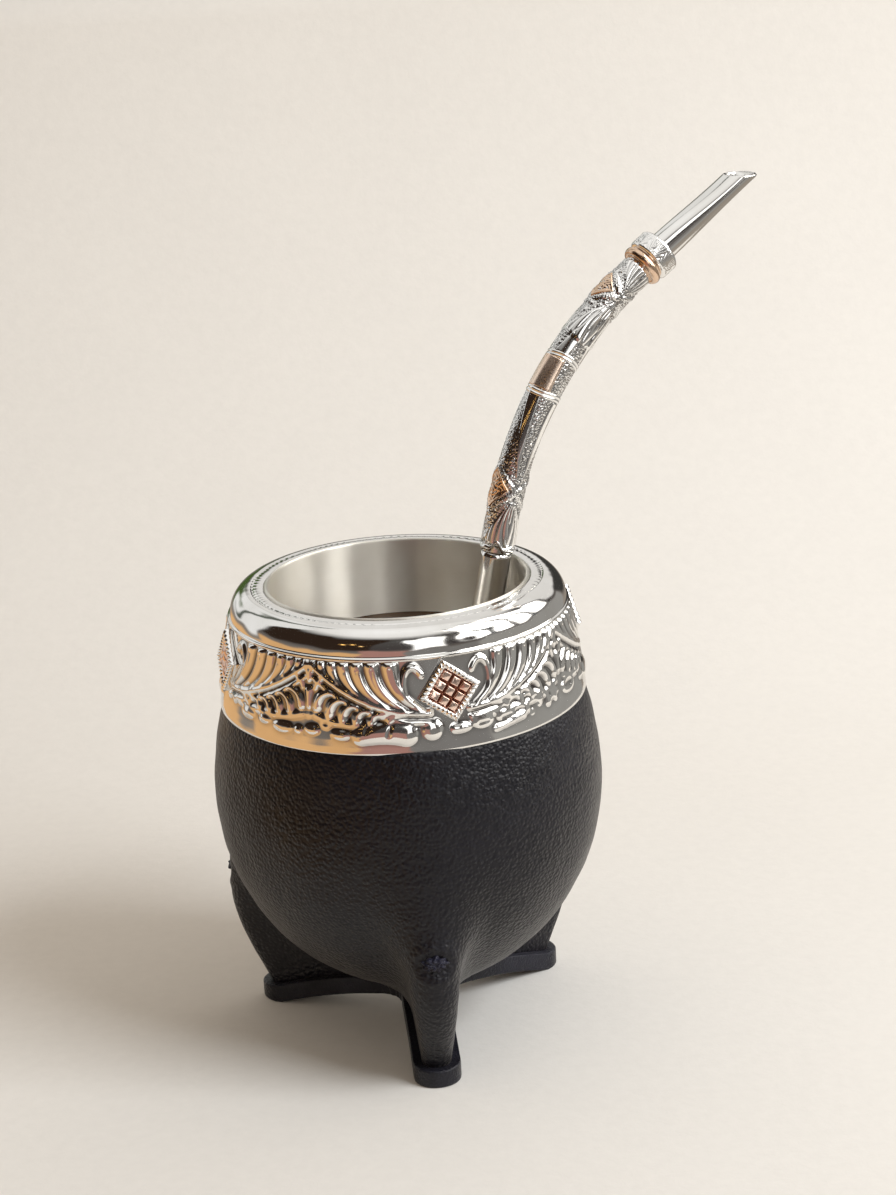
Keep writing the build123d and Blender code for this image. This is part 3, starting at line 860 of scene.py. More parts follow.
band, bandHollow = collarBand()
makePiece("collarBand", [band], silver, ["collar"], bandHollow)
makePiece("collarRim", [collarRim()], silver, ["collar"])

liner = {
    "inner": 27.5,
    "outer": 28.2,
    "low": 78.4,
    "high": 101.6,
    "waves": (0.0016, 0.0012),  # shares of the radius
    "columns": 360,
}


# the liner: a straight sleeve with a rounded top edge
def linerSurface():
    bend = np.linspace(0, 180, 11)
    middle, half = (liner["inner"] + liner["outer"]) / 2, (liner["outer"] - liner["inner"]) / 2
    topR = middle + half * np.cos(np.radians(bend))
    topZ = liner["high"] - half + half * np.sin(np.radians(bend))
    down = np.linspace(liner["high"] - 2 * half, liner["low"], 24)
    radii = np.concatenate([[liner["outer"], liner["outer"]], topR, np.full(24, liner["inner"])])
    heights = np.concatenate([[liner["low"], 90.0], topZ, down])
    angles = fullTurn(liner["columns"])
    grid = turned(radii, heights, angles)
    slow, quick = liner["waves"]
    wave = 1 + slow * np.sin(9 * angles + 1) + quick * np.sin(23 * angles)
    inside = np.concatenate([np.zeros(13), easeBetween(-down, -100.5, -97)])[:, None, None]
    grid[..., :2] *= 1 + (wave[None, :, None] - 1) * inside
    return ringSurface(grid)


makePiece("linerSleeve", [linerSurface()], brushed, ["liner"])


boss = {
    "seat": 37.4,
    "sunk": 0.75,
    "proud": 0.75,
    "side": 9.4,
    "border": 1.35,
    "lift": 88.4,
    "lean": 7.5,
    "twist": 8.0,
    "beadCount": 8,
    "tiles": 3,
    "tileHeight": 0.7,
    "groove": 0.2,
}


# points of a square patch set on its corner, x and y in its own plane, raised by height
def onBoss(x, y, height, turn):
    spin = np.radians(45 + boss["twist"])
    across = x * np.cos(spin) - y * np.sin(spin)
    up = x * np.sin(spin) + y * np.cos(spin)
    lean = np.radians(boss["lean"])
    out = boss["seat"] + height * np.cos(lean) - up * np.sin(lean)
    lift = boss["lift"] + up * np.cos(lean) + height * np.sin(lean)
    alongX = out * np.cos(turn) - across * np.sin(turn)
    alongY = out * np.sin(turn) + across * np.cos(turn)
    return np.stack([alongX, alongY, lift], -1)


# frame of a boss: a raised border with a row of round beads on it
def bossFrame(turn):
    half = boss["side"] / 2
    u = np.linspace(0, 4, 4 * 66, endpoint=False)
    side, along = np.floor(u).astype(int), (u % 1) * 2 - 1
    v = np.linspace(0, 1, 15)
    profile = np.sin(np.pi * v) ** 0.6
    reach = half - boss["border"] * (1 - v)
    reach = np.concatenate([[reach[0]], reach, [reach[-1]]])
    profile = np.concatenate([[-1.9], profile, [-1.9]])
    beads = np.abs(np.cos(np.pi * boss["beadCount"] * (along + 1) / 2)) ** 0.7
    corner = np.array([[1, 0], [0, 1], [-1, 0], [0, -1]])[side]
    tangent = np.array([[0, 1], [-1, 0], [0, -1], [1, 0]])[side]
    x = reach[:, None] * (corner[:, 0] + along * tangent[:, 0])[None]
    y = reach[:, None] * (corner[:, 1] + along * tangent[:, 1])[None]
    height = boss["proud"] + profile[:, None] * (0.2 + 0.5 * beads[None])
    height = np.where(profile[:, None] > 0, height, -boss["sunk"])
    return ringSurface(onBoss(x, y, height, turn))


# tiles of a boss: three by three raised pads with sloping sides and slightly dished tops
def bossTiles(turn):
    half = boss["side"] / 2 - boss["border"] + 0.05
    line = np.linspace(-half, half, 64)
    x, y = np.meshgrid(line, line)
    cell = 2 * half / boss["tiles"]
    cx = np.abs((x + half) % cell - cell / 2)
    cy = np.abs((y + half) % cell - cell / 2)
    edge = cell / 2 - np.maximum(cx, cy)
    pad = easeBetween(edge, boss["groove"] * 0.5, boss["groove"] * 1.9)
    dish = -0.12 * np.exp(-(cx**2 + cy**2) / 0.5)
    number = np.floor((x + half) / cell) * boss["tiles"] + np.floor((y + half) / cell)
    tiltX, tiltY = np.sin(number * 2.4), np.cos(number * 1.7)
    tilt = 0.1 * tiltX * ((x + half) % cell - cell / 2) + 0.1 * tiltY * ((y + half) % cell - cell / 2)
    height = 0.4 + boss["tileHeight"] * pad + 1.6 * pad * tilt - dish * pad
    top, bottom = onBoss(x, y, height, turn), onBoss(x, y, -boss["sunk"] + 0 * x, turn)
    # the grooves between the pads are the mask for painted shade
    return patchSurface(top, bottom), np.stack([1 - pad, 0 * pad])


for number in range(1, 5):
    turn = np.radians(collar["bossTurn"] + 90 * (number - 1))
    makePiece(f"bossFrame{number}", [bossFrame(turn)], chased, [f"boss_frame_{number}"])
    tiles, tilesHollow = bossTiles(turn)
    makePiece(f"bossTiles{number}", [tiles], copper, [f"boss_tiles_{number}"], tilesHollow)


straw = {
    "turn": 25.0,
    "lean": 13.5,
    "rimOffset": 23.81,
    "rimHeight": 101.4,
    "straight": 8.3,
    "bendRadius": 80.8,
    "bendAngle": 43.2,
    "foot": -81.6,
    "bore": 2.4,
    "stem": 3.3,
    "sleeve": 3.5,
    "cuff": 1.4,
    "ringEnd": 78.5,
    "tip": 105.7,
}
strawPieces = {
    "ribWave": 0.28,
    "ribs": ((36.1, 37.7), (44.8, 46.3)),
    "panel": (37.7, 44.8),
    "panelEdges": (-182.0, -14.0),
    "inlay": 0.34,
    "fields": ((15.2, 4.5, 66.0), (62.9, 3.5, 58.0)),
    "lip": (71.7, 73.7),
    "ring": (73.7, 78.5),
    "ringRadius": 5.1,
    "ringBore": 3.4,
    "lipRadius": (3.9, 0.95),
    "ropes": ((15.0, 0.86, 9.8, 20.2), (63.0, 0.72, 58.2, 67.6)),
    "ropeHalf": 0.62,
    "facets": ((17.5, 36.2, -0.13), (60.0, 46.2, -0.10)),
    "swells": ((15, 3.2, 0.22), (63, 3.0, 0.22), (41.5, 6, 0.12)),
    "stipple": 0.11,
    "fans": ((13.6, -1, 0.62, 11.5, 5), (61.6, -1, 0.62, 12, 5), (64.2, 1, 0.75, 8.5, 5)),
}


# place and heading of the straw's middle line at lengths from the rim's height: straight, arc, straight
def strawLine(s):
    lean, radius = np.radians(straw["lean"]), straw["bendRadius"]
    bent = np.clip((s - straw["straight"]) / radius, 0, np.radians(straw["bendAngle"]))
    past = np.maximum(s - straw["straight"] - bent * radius, 0)
    before = np.minimum(s, straw["straight"])
    heading = lean + bent
    out = straw["rimOffset"] + before * np.sin(lean) + radius * (np.cos(lean) - np.cos(heading))
    up = straw["rimHeight"] + before * np.cos(lean) + radius * (np.sin(heading) - np.sin(lean))
    return out + past * np.sin(heading), up + past * np.cos(heading), heading


# points round the straw, moved off its middle line to its front and to the inside of its bend
def roundStraw(s, front, inside):
    out, up, heading = strawLine(s)
    turn = np.radians(straw["turn"])
    out = out + inside * np.cos(heading)
    up = up - inside * np.sin(heading)
    x = out * np.cos(turn) + front * np.sin(turn)
    y = out * np.sin(turn) - front * np.cos(turn)
    return np.stack(np.broadcast_arrays(x, y, up), -1)


# a hollow tube: an outer wall of changing radius and a plain bore
def strawTube(stations, outer, inner, columns=96):
    psi = fullTurn(columns, -np.pi)[None]
    stations = np.asarray(stations, float)[:, None]
    radius = outer(stations + 0 * psi, psi + 0 * stations) if callable(outer) else outer + 0 * stations * psi
    back = stations[::-1][:: max(1, len(stations) // 24)]
    s = np.concatenate([stations + 0 * psi, back + 0 * psi])
    r = np.concatenate([radius, inner + 0 * back * psi])
    return ringSurface(roundStraw(s, r * np.cos(psi), r * np.sin(psi)))


# shortest way round the tube between two angles, in millimetres of sleeve
def aroundStraw(psi, middle):
    return (np.mod(psi - middle + np.pi, 2 * np.pi) - np.pi) * straw["sleeve"]


# a line of rope: raised by a half round of that width, cut by slanting hatches
def ropeBand(x, y, distance, half):
    raised = np.clip(1 - (distance / half) ** 2, 0, 1) ** 0.5
    hatch = 0.72 + 0.28 * np.cos(2 * np.pi * (x + y) / 0.55)
    return 0.2 * raised * hatch


# a fan of curved veins from a pivot, up (+1) or down (-1), open to a half angle
def leafFan(x, y, pivot, way, halfAngle, length, veins):
    dy = (y - pivot) * way
    rho = np.hypot(x, dy)
    alpha = np.arctan2(np.abs(x), dy)
    inside = easeBetween(halfAngle - alpha, 0, 0.12) * easeBetween(length - rho, 0, 1.0)
    inside = inside * easeBetween(rho, 0.3, 1.2)
    curve = alpha * veins + 0.16 * rho
    lobe = np.abs(np.sin(curve * np.pi)) ** 0.7
    return inside, 0.16 * lobe


# chasing on the sleeve: ropes crossing twice, leaf fans, pointed plain facets and stippled ground
def sleeveRadius(s, psi):
    total = np.zeros(s.shape)
    ground = np.random.default_rng(5).uniform(-1, 1, s.shape)
    stipple = np.ones(s.shape)
    for middle in (0.0, np.pi):
        x = aroundStraw(psi, middle)
        for centre, slope, low, high in strawPieces["ropes"]:
            y = s - centre
            for sign in (-1, 1):
                distance = np.abs(y - sign * slope * np.abs(x)) / np.hypot(1, slope)
                within = (s > low) & (s < high)
                rope = ropeBand(x, y, distance, strawPieces["ropeHalf"])
                total = np.maximum(total, np.where(within, rope, 0))
        for fan in strawPieces["fans"]:
            inside, height = leafFan(x, s, *fan)
            total = np.where(inside > 0.02, np.maximum(total, height * inside), total)
            stipple = stipple * (1 - inside)
        for start, end, drift in strawPieces["facets"]:
            share = np.clip((s - start) / (end - start), 0, 1)
            for side in (-1, 1):
                across = x - side * (0.6 + 2.6 * share) - drift * (s - start) * 0.2
                half = 0.1 + 1.55 * share**0.8
                facet = easeBetween(half - np.abs(across), 0, 0.22) * (share > 0) * (share < 1)
                total = total + 0.13 * facet
                stipple = stipple * (1 - facet)
    swell = np.zeros(s.shape)
    for middle, width, height in strawPieces["swells"]:
        swell = swell + height * np.exp(-(((s - middle) / width) ** 2))
    flat = easeBetween(s, 2.2, 3.4) * (1 - easeBetween(s, 70.6, 71.4))
    return straw["sleeve"] + swell + flat * (1.5 * total + strawPieces["stipple"] * stipple * ground)


stemStations = np.linspace(straw["foot"], straw["cuff"] + 0.2, 60)
stem = strawTube(stemStations, straw["stem"], straw["bore"])
makePiece("strawStem", [stem], silver, ["straw_stem"])
sleeveStations = np.linspace(straw["cuff"], straw["ringEnd"], 470)
sleeve = strawTube(sleeveStations, sleeveRadius, straw["bore"], 150)
sleeveTurns = fullTurn(150, -np.pi)
sleeveGrid = sleeveRadius(*np.meshgrid(sleeveStations, sleeveTurns, indexing="ij"))
sleeveHollow = np.zeros(len(sleeve[0]))
# the chasing's hollows are the mask for painted shade
sleeveHollow[: sleeveGrid.size] = hollowOf(sleeveGrid, 6, 0.12).ravel()
makePiece("strawSleeve", [sleeve], chased, ["straw_sleeve"], sleeveHollow)


# a thin band round the sleeve: its outer rows, closed by two rows sunk into the sleeve
def bandSurface(s, psi, r, sunk):
    s = np.concatenate([s, s[-1:], s[:1]])
    r = np.concatenate([r, np.full((2, psi.size), straw["sleeve"] - sunk)])
    return ringSurface(roundStraw(s, r * np.cos(psi), r * np.sin(psi)))


# cuff: a half-round lip whose lower edge rises in two points
def cuffSurface():
    psi = fullTurn(120, -np.pi)[None]
    t = np.linspace(0, 1, 12)[:, None]
    around = (np.mod(psi + 0.6 + np.pi, 2 * np.pi) - np.pi) / 0.28
    point = 0.32 * np.abs(np.sin(4 * psi + 0.6)) + 1.5 * np.exp(-around**2)
    s = straw["cuff"] + 0.05 + point + 1.3 * t
    r = straw["sleeve"] + 0.32 * np.sin(np.pi * t) ** 0.7 + 0 * psi
    return bandSurface(s, psi, r, 0.15)


# rib: two thin beads side by side that wave a little along the straw
def ribSurface(low, high, phase):
    psi = fullTurn(120, -np.pi)[None]
    t = np.linspace(0, 1, 22)[:, None]
    s = low + (high - low) * t + strawPieces["ribWave"] * np.sin(2 * psi + phase)
    r = straw["sleeve"] + 0.1 + 0.24 * np.abs(np.sin(2 * np.pi * t)) ** 0.7 + 0 * psi
    return bandSurface(s, psi, r, 0.1)


makePiece("strawCuff", [cuffSurface()], chased, ["straw_cuff"])
ribLow, ribHigh = strawPieces["ribs"]
makePiece("strawRibLow", [ribSurface(*ribLow, 0.4)], chased, ["straw_rib_low"])
makePiece("strawRibHigh", [ribSurface(*ribHigh, 2.0)], chased, ["straw_rib_high"])


# a patch of thin metal wrapped on the sleeve between stations s and angles psi
def wrappedPatch(s, psi, height):
    outer = straw["sleeve"] + height
    inner = straw["sleeve"] - 0.1 + 0 * s
    top = roundStraw(s, outer * np.cos(psi), outer * np.sin(psi))
    return patchSurface(top, roundStraw(s, inner * np.cos(psi), inner * np.sin(psi)))


# panel: smooth, a little crowned, its long edges rounded down
def panelSurface():
    low, high = strawPieces["panel"]
    start, end = np.radians(strawPieces["panelEdges"])
    t, u = np.meshgrid(np.linspace(0, 1, 50), np.linspace(0, 1, 90), indexing="ij")
    edge = np.minimum.reduce([u * 9, (1 - u) * 9, t * 8 + 0.4, (1 - t) * 8 + 0.4])
    height = strawPieces["inlay"] * np.clip(edge / 0.5, 0, 1) ** 0.5
    slant = u * (t - 0.5) * -0.12
    return wrappedPatch(low + (high - low) * t, start + (end - start) * u + slant, height)


# field: a lozenge on the outside of the bend, hammered all over
def fieldSurface(middle, half, halfAngle):
    t, u = np.meshgrid(np.linspace(-1, 1, 60), np.linspace(-1, 1, 60), indexing="ij")
    a, b = (t + u) / 2, (t - u) / 2
    s = middle + half * a
    psi = np.radians(-90 + halfAngle * b)
    edge = 1 - np.maximum(np.abs(t), np.abs(u))
    hammer = 0.08 * np.sin(a * 17 + 2 * np.sin(b * 9)) * np.sin(b * 15 + 2 * np.sin(a * 11))
    raised = 0.1 * np.exp(-(((edge - 0.1) / 0.05) ** 2))
    crown = strawPieces["inlay"] * np.clip(edge / 0.08, 0, 1) ** 0.5
    height = crown + (hammer - 0.05) * easeBetween(edge, 0.12, 0.3) + raised
    return wrappedPatch(s, psi, height)


makePiece("strawPanel", [panelSurface()], panelCopper, ["straw_panel"])
fieldLow, fieldHigh = strawPieces["fields"]
makePiece("strawFieldLow", [fieldSurface(*fieldLow)], bronze, ["straw_field_low"])
makePiece("strawFieldHigh", [fieldSurface(*fieldHigh)], bronze, ["straw_field_high"])


# ring: a barrel with rounded edges, chased with fans of short cuts between two plain edges
def ringRadius(s, psi):
    low, high = strawPieces["ring"]
    t = (s - low) / (high - low)
    barrel = strawPieces["ringRadius"] - 1.1 * np.clip(np.abs(2 * t - 1) - 0.62, 0, 1) ** 2 / 0.38**2 * 0.9
    across = np.mod(psi * 7 / (2 * np.pi) + 0.2, 1) - 0.5
    cuts = np.abs(np.sin(np.pi * 5 * np.arctan2(across * 2.2, t + 0.25)))
    middlePart = easeBetween(t, 0.1, 0.2) * (1 - easeBetween(t, 0.82, 0.92))
    return barrel - 0.13 * middlePart * cuts


# lip: a smooth bronze round under the ring
def lipRadius(s, psi):
    low, high = strawPieces["lip"]
    t = np.clip((s - low) / (high - low), 0, 1)
    least, swell = strawPieces["lipRadius"]
    return least + swell * np.sin(np.pi * (0.12 + 0.8 * t)) ** 0.6 + 0 * psi


ring = strawTube(np.linspace(*strawPieces["ring"], 60), ringRadius, strawPieces["ringBore"], 220)
lip = strawTube(np.linspace(*strawPieces["lip"], 20), lipRadius, strawPieces["ringBore"])
makePiece("strawRing", [ring], chased, ["straw_ring"])
makePiece("strawLip", [lip], bronze, ["straw_lip"])


mouthpiece = {"round": 3.2, "thick": 2.35, "wide": 3.6, "cut": 5.4, "wall": 0.7, "sunk": 0.3}


# mouthpiece: round at the ring, flattened and widened to the tip, cut aslant on its outer side
def mouthpieceSurface():
    psi = fullTurn(96, -np.pi)[None]
    t = np.linspace(0, 1, 70)[:, None]
    ease = easeBetween(t, 0.0, 0.9)
    thick = mouthpiece["round"] + (mouthpiece["thick"] - mouthpiece["round"]) * ease
    wide = mouthpiece["round"] + (mouthpiece["wide"] - mouthpiece["round"]) * ease
    front, inside = np.cos(psi), np.sin(psi)
    cut = (1 - inside) / 2
    length = straw["tip"] - straw["ringEnd"] - mouthpiece["cut"] * cut**1.15
    s = straw["ringEnd"] - mouthpiece["sunk"] + (length + mouthpiece["sunk"]) * t
    wall = mouthpiece["wall"]
    thinned = 0.5 * np.clip((t - 0.985) / 0.015, 0, 1) ** 2 * 0.4
    outer = roundStraw(s, (wide - thinned) * front, (thick - thinned) * inside)
    inner = roundStraw(s[::-1], (wide - wall)[::-1] * front, (thick - wall)[::-1] * inside)
    return ringSurface(np.concatenate([outer, inner[::3], inner[-1:]]))


makePiece("strawMouthpiece", [mouthpieceSurface()], silver, ["straw_mouthpiece"])


drink = {
    "level": 84.2,
    "edge": 27.8,
    "ripple": (17.0, 0.10),
    "climb": 0.35,
    "hollowRadius": (27.8, 27.8, 31.4, 34.7, 34.7, 30.4, 21.8, 8.0, 0.5),
    "hollowHeight": (83.0, 78.6, 69.0, 56.0, 50.0, 33.0, 22.0, 18.2, 18.0),
    "dark": (0.055, 0.033, 0.018),
    "light": (0.095, 0.058, 0.033),
    "patch": 6 * mm,
    "grain": 1.5 * mm,
    "roughness": (0.05, 0.16),
}


# height of the drink's top: slow ripples, and a rise where it wets the liner and the straw
def drinkHeight(x, y):
    s = (drink["level"] - straw["rimHeight"]) / np.cos(np.radians(straw["lean"]))
    out = straw["rimOffset"] + s * np.sin(np.radians(straw["lean"]))
    turn = np.radians(straw["turn"])
    away = np.hypot(x - out * np.cos(turn), y - out * np.sin(turn)) - straw["stem"]
    near = np.exp(-np.clip(away, 0, 9) / 0.7) + np.exp(-np.clip(liner["inner"] - np.hypot(x, y), 0, 30) / 0.8)
    points = np.stack([x, y, 0 * x], -1)
    return drink["level"] + drink["climb"] * near + gentleUneven(points, *drink["ripple"], 21)


# the drink: its top, then the hollow's own outline reaching just into the wall
def drinkSurface():
    angles = fullTurn(240)
    rings = np.concatenate([np.linspace(0.3, 25, 44), np.linspace(25.3, drink["edge"], 14)])
    x, y = rings[:, None] * np.cos(angles), rings[:, None] * np.sin(angles)
    top = np.stack([x, y, drinkHeight(x, y)], -1)
    below = turned(drink["hollowRadius"], drink["hollowHeight"], angles)
    return closedSurface(np.concatenate([top, below]))


# dark wet drink: tone from slow noise, nearly smooth
def drinkMaterial():
    material, tree, shader = startMaterial("darkDrink", IOR=1.34, Specular_IOR_Level=0.5)
    tone = noiseAt(tree, objectCoordinates(tree), drink["patch"], 5.0, 0.6)
    colour = rampOf(tree, tone, [(0.3, drink["dark"]), (0.7, drink["light"])])
    fine = noiseAt(tree, objectCoordinates(tree), drink["grain"], 2.0)
    tree.links.new(colour, shader.inputs["Base Color"])
    tree.links.new(rangeOf(tree, tone, 0.3, 0.7, *drink["roughness"]), shader.inputs["Roughness"])
    tree.links.new(bumpOf(tree, fine, 0.1, 0.05 * mm), shader.inputs["Normal"])
    return material


makePiece("drinkFill", [drinkSurface()], drinkMaterial(), ["drink"])


stage = {
    "floorColour": (0.80, 0.765, 0.715),
    "wallAway": 0.33,
    "sweep": 0.2,
    "halfWidth": 1.4,
    "front": -1.6,
    "high": 0.6,
    "fibre": 0.018,
    "mirrorPaper": 0.29,
    "tableFrom": (165, 190),
    "tableTo": (238, 258),
    "tableCut": 0.55,
    "airColour": (1.0, 0.87, 0.73, 1),
    "airStrength": 0.44,
}


# paper: colour wanders slowly, with fine fibre mottling and a soft bump; clear from behind
def paperMaterial(name, colour, fibre):
    material, tree, shader = startMaterial(name, Roughness=0.9, Specular_IOR_Level=0.1)
    slow = noiseAt(tree, objectCoordinates(tree), 60 * mm, 3.0)
    fine = noiseAt(tree, objectCoordinates(tree), 3.2 * mm, 5.0, 0.65)
    both = addNode(tree, "ShaderNodeMath", {1: 0.5}, operation="MULTIPLY_ADD")
    tree.links.new(slow, both.inputs[0])
    tree.links.new(fine, both.inputs[2])
    low = tuple(c * (1 - fibre) for c in colour)
    high = tuple(c * (1 + fibre) for c in colour)
    tree.links.new(rampOf(tree, both.outputs[0], [(0.55, low), (0.95, high)]), shader.inputs["Base Color"])
    tree.links.new(bumpOf(tree, fine, 0.25, 0.4 * mm), shader.inputs["Normal"])
    sides = addNode(tree, "ShaderNodeNewGeometry")
    clear = addNode(tree, "ShaderNodeBsdfTransparent")
    choice = addNode(tree, "ShaderNodeMixShader")
    tree.links.new(sides.outputs["Backfacing"], choice.inputs["Fac"])
    tree.links.new(shader.outputs["BSDF"], choice.inputs[1])
    tree.links.new(clear.outputs["BSDF"], choice.inputs[2])
    tree.links.new(choice.outputs["Shader"], tree.nodes["Material Output"].inputs["Surface"])
    return material


# links a stage mesh that only some rays meet
def addStage(name, points, quads, material, seenBy):
    mesh = bpy.data.meshes.new(name)
    mesh.from_pydata(points.tolist(), [], quads.tolist())
    mesh.polygons.foreach_set("use_smooth", np.ones(len(mesh.polygons), bool))
    mesh.materials.append(material)
    thing = bpy.data.objects.new(name, mesh)
    bpy.context.scene.collection.objects.link(thing)
    thing.visible_camera = "camera" in seenBy
    thing.visible_diffuse = "diffuse" in seenBy
    thing.visible_glossy = "glossy" in seenBy
    thing.visible_transmission = "camera" in seenBy
    thing.visible_shadow = "diffuse" in seenBy
    return mesh


# floor and backdrop: a flat sheet that sweeps up into a wall, as a profile carried sideways,
# and the disc of paper that only mirrors see, cut shorter where the warm table lies
def backdrop():
    away, sweep = stage["wallAway"], stage["sweep"]
    bend = np.radians(np.linspace(0, 90, 24))
    curveY = away - sweep + sweep * np.sin(bend)
    y = np.concatenate([np.linspace(stage["front"], away - sweep, 20), curveY, np.full(12, away)])
    z = np.concatenate([np.zeros(20), sweep * (1 - np.cos(bend)), np.linspace(sweep, stage["high"], 12)])
    x = np.linspace(-stage["halfWidth"], stage["halfWidth"], 30)
    grid = np.stack(np.broadcast_arrays(x[None], y[:, None], z[:, None]), -1).reshape(-1, 3)
    paper = paperMaterial("creamPaper", stage["floorColour"], stage["fibre"])
    addStage("paperSweep", grid, gridQuads(len(y), len(x), False), paper, ("camera", "diffuse"))
    angles = fullTurn(64)
    degrees = np.degrees(angles)
    table = easeBetween(degrees, *stage["tableFrom"]) * (1 - easeBetween(degrees, *stage["tableTo"]))
    reach = stage["mirrorPaper"] * (1 - stage["tableCut"] * table)
    rings = np.linspace(0.002, 1, 12)[:, None] * reach[None]
    x, y = axisX + rings * np.cos(angles), axisY + rings * np.sin(angles)
    disc = np.stack([x, y, 0 * x], -1).reshape(-1, 3)
    addStage("paperSeenInMetal", disc, gridQuads(12, 64)[:, ::-1], paper, ("glossy",))


backdrop()

# the room that only mirrors see, as patches by direction: turn 0 is right, 90 back, -90 front,
# and tilt is up from level
room = {
    "levels": [
        (-90, (0.50, 0.45, 0.38)),
        (-12, (0.30, 0.26, 0.22)),
        (4, (0.16, 0.14, 0.125)),
        (14, (0.06, 0.052, 0.05)),
        (48, (0.09, 0.085, 0.08)),
        (62, (0.90, 0.88, 0.85)),
        (90, (1.05, 1.04, 1.02)),
    ],
    "away": 3.0,
    "height": 0.08,
    "soft": 5.0,
    "wander": 5.0,
    "patches": [
        {"turn": (168, 249), "tilt": (-60, 0), "colour": (0.74, 0.43, 0.19)},
        {"turn": (108, 169), "tilt": (-20, -9), "colour": (0.78, 0.46, 0.21)},
        {"turn": (-122, -84), "tilt": (-20, 8), "colour": (0.40, 0.21, 0.175)},
        {"turn": (166, 256), "tilt": (9, 48), "colour": (0.030, 0.018, 0.012)},
        {"turn": (104, 164), "tilt": (-3, 60), "colour": (0.86, 0.85, 0.83)},
        {"turn": (-84, -36), "tilt": (-16, 6), "colour": (0.21, 0.20, 0.19)},
        {"turn": (-83, -58), "tilt": (9, 44), "colour": (1.9, 1.88, 1.84)},
        {"turn": (-36, 56), "tilt": (-18, 9), "colour": (0.33, 0.32, 0.30)},
        {"turn": (-42, -6), "tilt": (14, 66), "colour": (6.5, 6.4, 6.2)},
        {"turn": (4, 34), "tilt": (13, 62), "colour": (4.6, 4.5, 4.3)},
        {"turn": (40, 104), "tilt": (15, 60), "colour": (0.80, 0.78, 0.75)},
        {"turn": (-30, -22), "tilt": (11, 70), "colour": (0.12, 0.12, 0.12)},
        {"turn": (124, 134), "tilt": (0, 60), "colour": (0.10, 0.11, 0.09)},
        {"turn": (12, 17), "tilt": (11, 70), "colour": (0.12, 0.12, 0.12)},
        {"turn": (58, 84), "tilt": (-7, 13), "colour": (0.045, 0.043, 0.04)},
        {"turn": (84, 95), "tilt": (-7, 11), "colour": (0.22, 0.22, 0.19)},
        {"turn": (96, 117), "tilt": (-5, 13), "colour": (0.065, 0.105, 0.028)},
        {"turn": (-131.8, -130), "tilt": (26, 28.0), "colour": (5.0, 2.8, 0.8)},
        {"turn": (-124.8, -123), "tilt": (28, 30.0), "colour": (5.0, 2.8, 0.8)},
        {"turn": (-118, -116.6), "tilt": (24, 25.6), "colour": (4.0, 2.4, 0.9)},
    ],
}


# dome colour: level tones blended up the tilt, each patch laid over them with soft edges
def roomDome():
    turn = np.linspace(-180, 180, 361)[:-1]
    tilt = np.linspace(-89.5, 89.5, 240)
    turns, tilts = np.meshgrid(turn, tilt)
    levels = room["levels"]
    heights = [height for height, tone in levels]
    tones = np.array([tone for height, tone in levels])
    colour = np.stack([np.interp(tilts, heights, tones[:, c]) for c in range(3)], -1)
    a, b = np.radians(turns), np.radians(tilts)
    drift = room["wander"] * (np.sin(7 * a + 2.1 * np.sin(5 * b)) + 0.6 * np.sin(13 * a + 1))
    sway = 0.4 * room["wander"] * (np.sin(9 * b + 3 * np.sin(4 * a)) + 0.5 * np.sin(17 * a))
    for patch in room["patches"]:
        low, high = patch["turn"]
        middle, half = (low + high) / 2, (high - low) / 2
        soft = min(room["soft"], half)
        small = half < 3
        around = np.abs((turns + drift * (not small) - middle + 180) % 360 - 180)
        lift = tilts + sway * (not small)
        up = np.minimum(lift - patch["tilt"][0], patch["tilt"][1] - lift)
        share = easeBetween(half - around, -soft / 2, soft / 2) * easeBetween(up, -soft / 2, soft / 2)
        colour = colour + (np.array(patch["colour"]) - colour) * share[..., None]
    away = np.stack([np.cos(b) * np.cos(a), np.cos(b) * np.sin(a), np.sin(b)], -1)
    points = (away * room["away"] + np.array([axisX, axisY, room["height"]])).reshape(-1, 3)
    material = bpy.data.materials.new("roomGlow")
    material.use_nodes = True
    material.cycles.emission_sampling = "NONE"
    tree = material.node_tree
    tree.nodes.clear()
    stored = addNode(tree, "ShaderNodeAttribute", attribute_name="glow")
    glow = addNode(tree, "ShaderNodeEmission")
    output = addNode(tree, "ShaderNodeOutputMaterial")
    tree.links.new(stored.outputs["Color"], glow.inputs["Color"])
    tree.links.new(glow.outputs[0], output.inputs["Surface"])
    mesh = addStage("roomDome", points, gridQuads(len(tilt), len(turn)), material, ("glossy",))
    attribute = mesh.color_attributes.new("glow", "FLOAT_COLOR", "POINT")
    rgba = np.concatenate([colour, np.ones(colour.shape[:2] + (1,))], -1)
    attribute.data.foreach_set("color", rgba.astype(np.float32).ravel())


roomDome()
print("room ready")

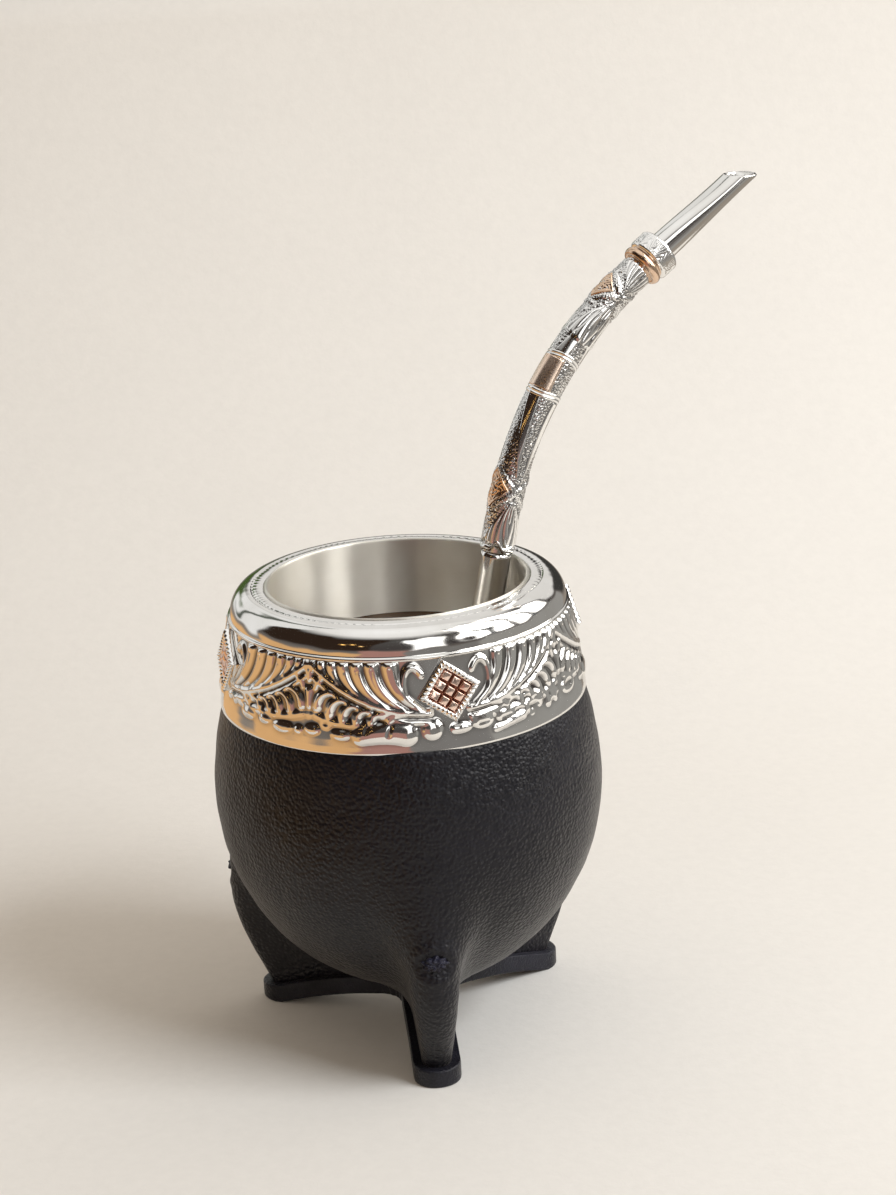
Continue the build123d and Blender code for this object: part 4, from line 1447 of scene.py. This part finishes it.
lights = {
    "windowRight": {"at": (0.80, -0.46, 0.82), "size": 0.62, "power": 13.4, "colour": (0.90, 0.95, 1.0)},
    "backSoft": {"at": (0.5, -0.1, 1.2), "size": 0.8, "power": 1.0, "colour": (0.97, 0.98, 1.0)},
}
for name, light in lights.items():
    lamp = bpy.data.lights.new(name, "AREA")
    lamp.shape = "SQUARE"
    lamp.size = light["size"]
    lamp.energy = light["power"]
    lamp.color = light["colour"]
    holder = bpy.data.objects.new(name, lamp)
    holder.location = light["at"]
    aim = Vector((axisX, axisY, 0.06)) - Vector(light["at"])
    holder.rotation_euler = aim.to_track_quat("-Z", "Y").to_euler()
    holder.visible_glossy = False
    bpy.context.scene.collection.objects.link(holder)

world = bpy.data.worlds.new("softRoom")
world.use_nodes = True
world.node_tree.nodes["Background"].inputs["Color"].default_value = stage["airColour"]
world.node_tree.nodes["Background"].inputs["Strength"].default_value = stage["airStrength"]
bpy.context.scene.world = world
bpy.context.scene.view_settings.view_transform = "Standard"

camera = {
    "away": (0.0, -0.5575, 0.2775),
    "lens": 110.5,
    "yaw": 1.095,
    "pitch": 18.01,
    "roll": -3.136,
}


# the camera: yaw to the right, pitch down, then roll about its own line of sight
def addCamera():
    yaw, pitch, roll = np.radians([camera["yaw"], camera["pitch"], camera["roll"]])
    forward = Vector((np.sin(yaw) * np.cos(pitch), np.cos(yaw) * np.cos(pitch), -np.sin(pitch)))
    right = Vector((np.cos(yaw), -np.sin(yaw), 0.0))
    up = right.cross(forward)
    rolledRight = right * np.cos(roll) + up * np.sin(roll)
    rolledUp = up * np.cos(roll) - right * np.sin(roll)
    data = bpy.data.cameras.new("mainCamera")
    data.lens = camera["lens"]
    data.sensor_fit = "HORIZONTAL"
    data.clip_start = 0.01
    holder = bpy.data.objects.new("mainCamera", data)
    turn = Matrix((rolledRight, rolledUp, -forward)).transposed().to_4x4()
    place = Vector(camera["away"]) + Vector((axisX, axisY, 0))
    holder.matrix_world = Matrix.Translation(place) @ turn
    bpy.context.scene.collection.objects.link(holder)
    bpy.context.scene.camera = holder


addCamera()
print("stage ready")

bpy.context.view_layer.update()
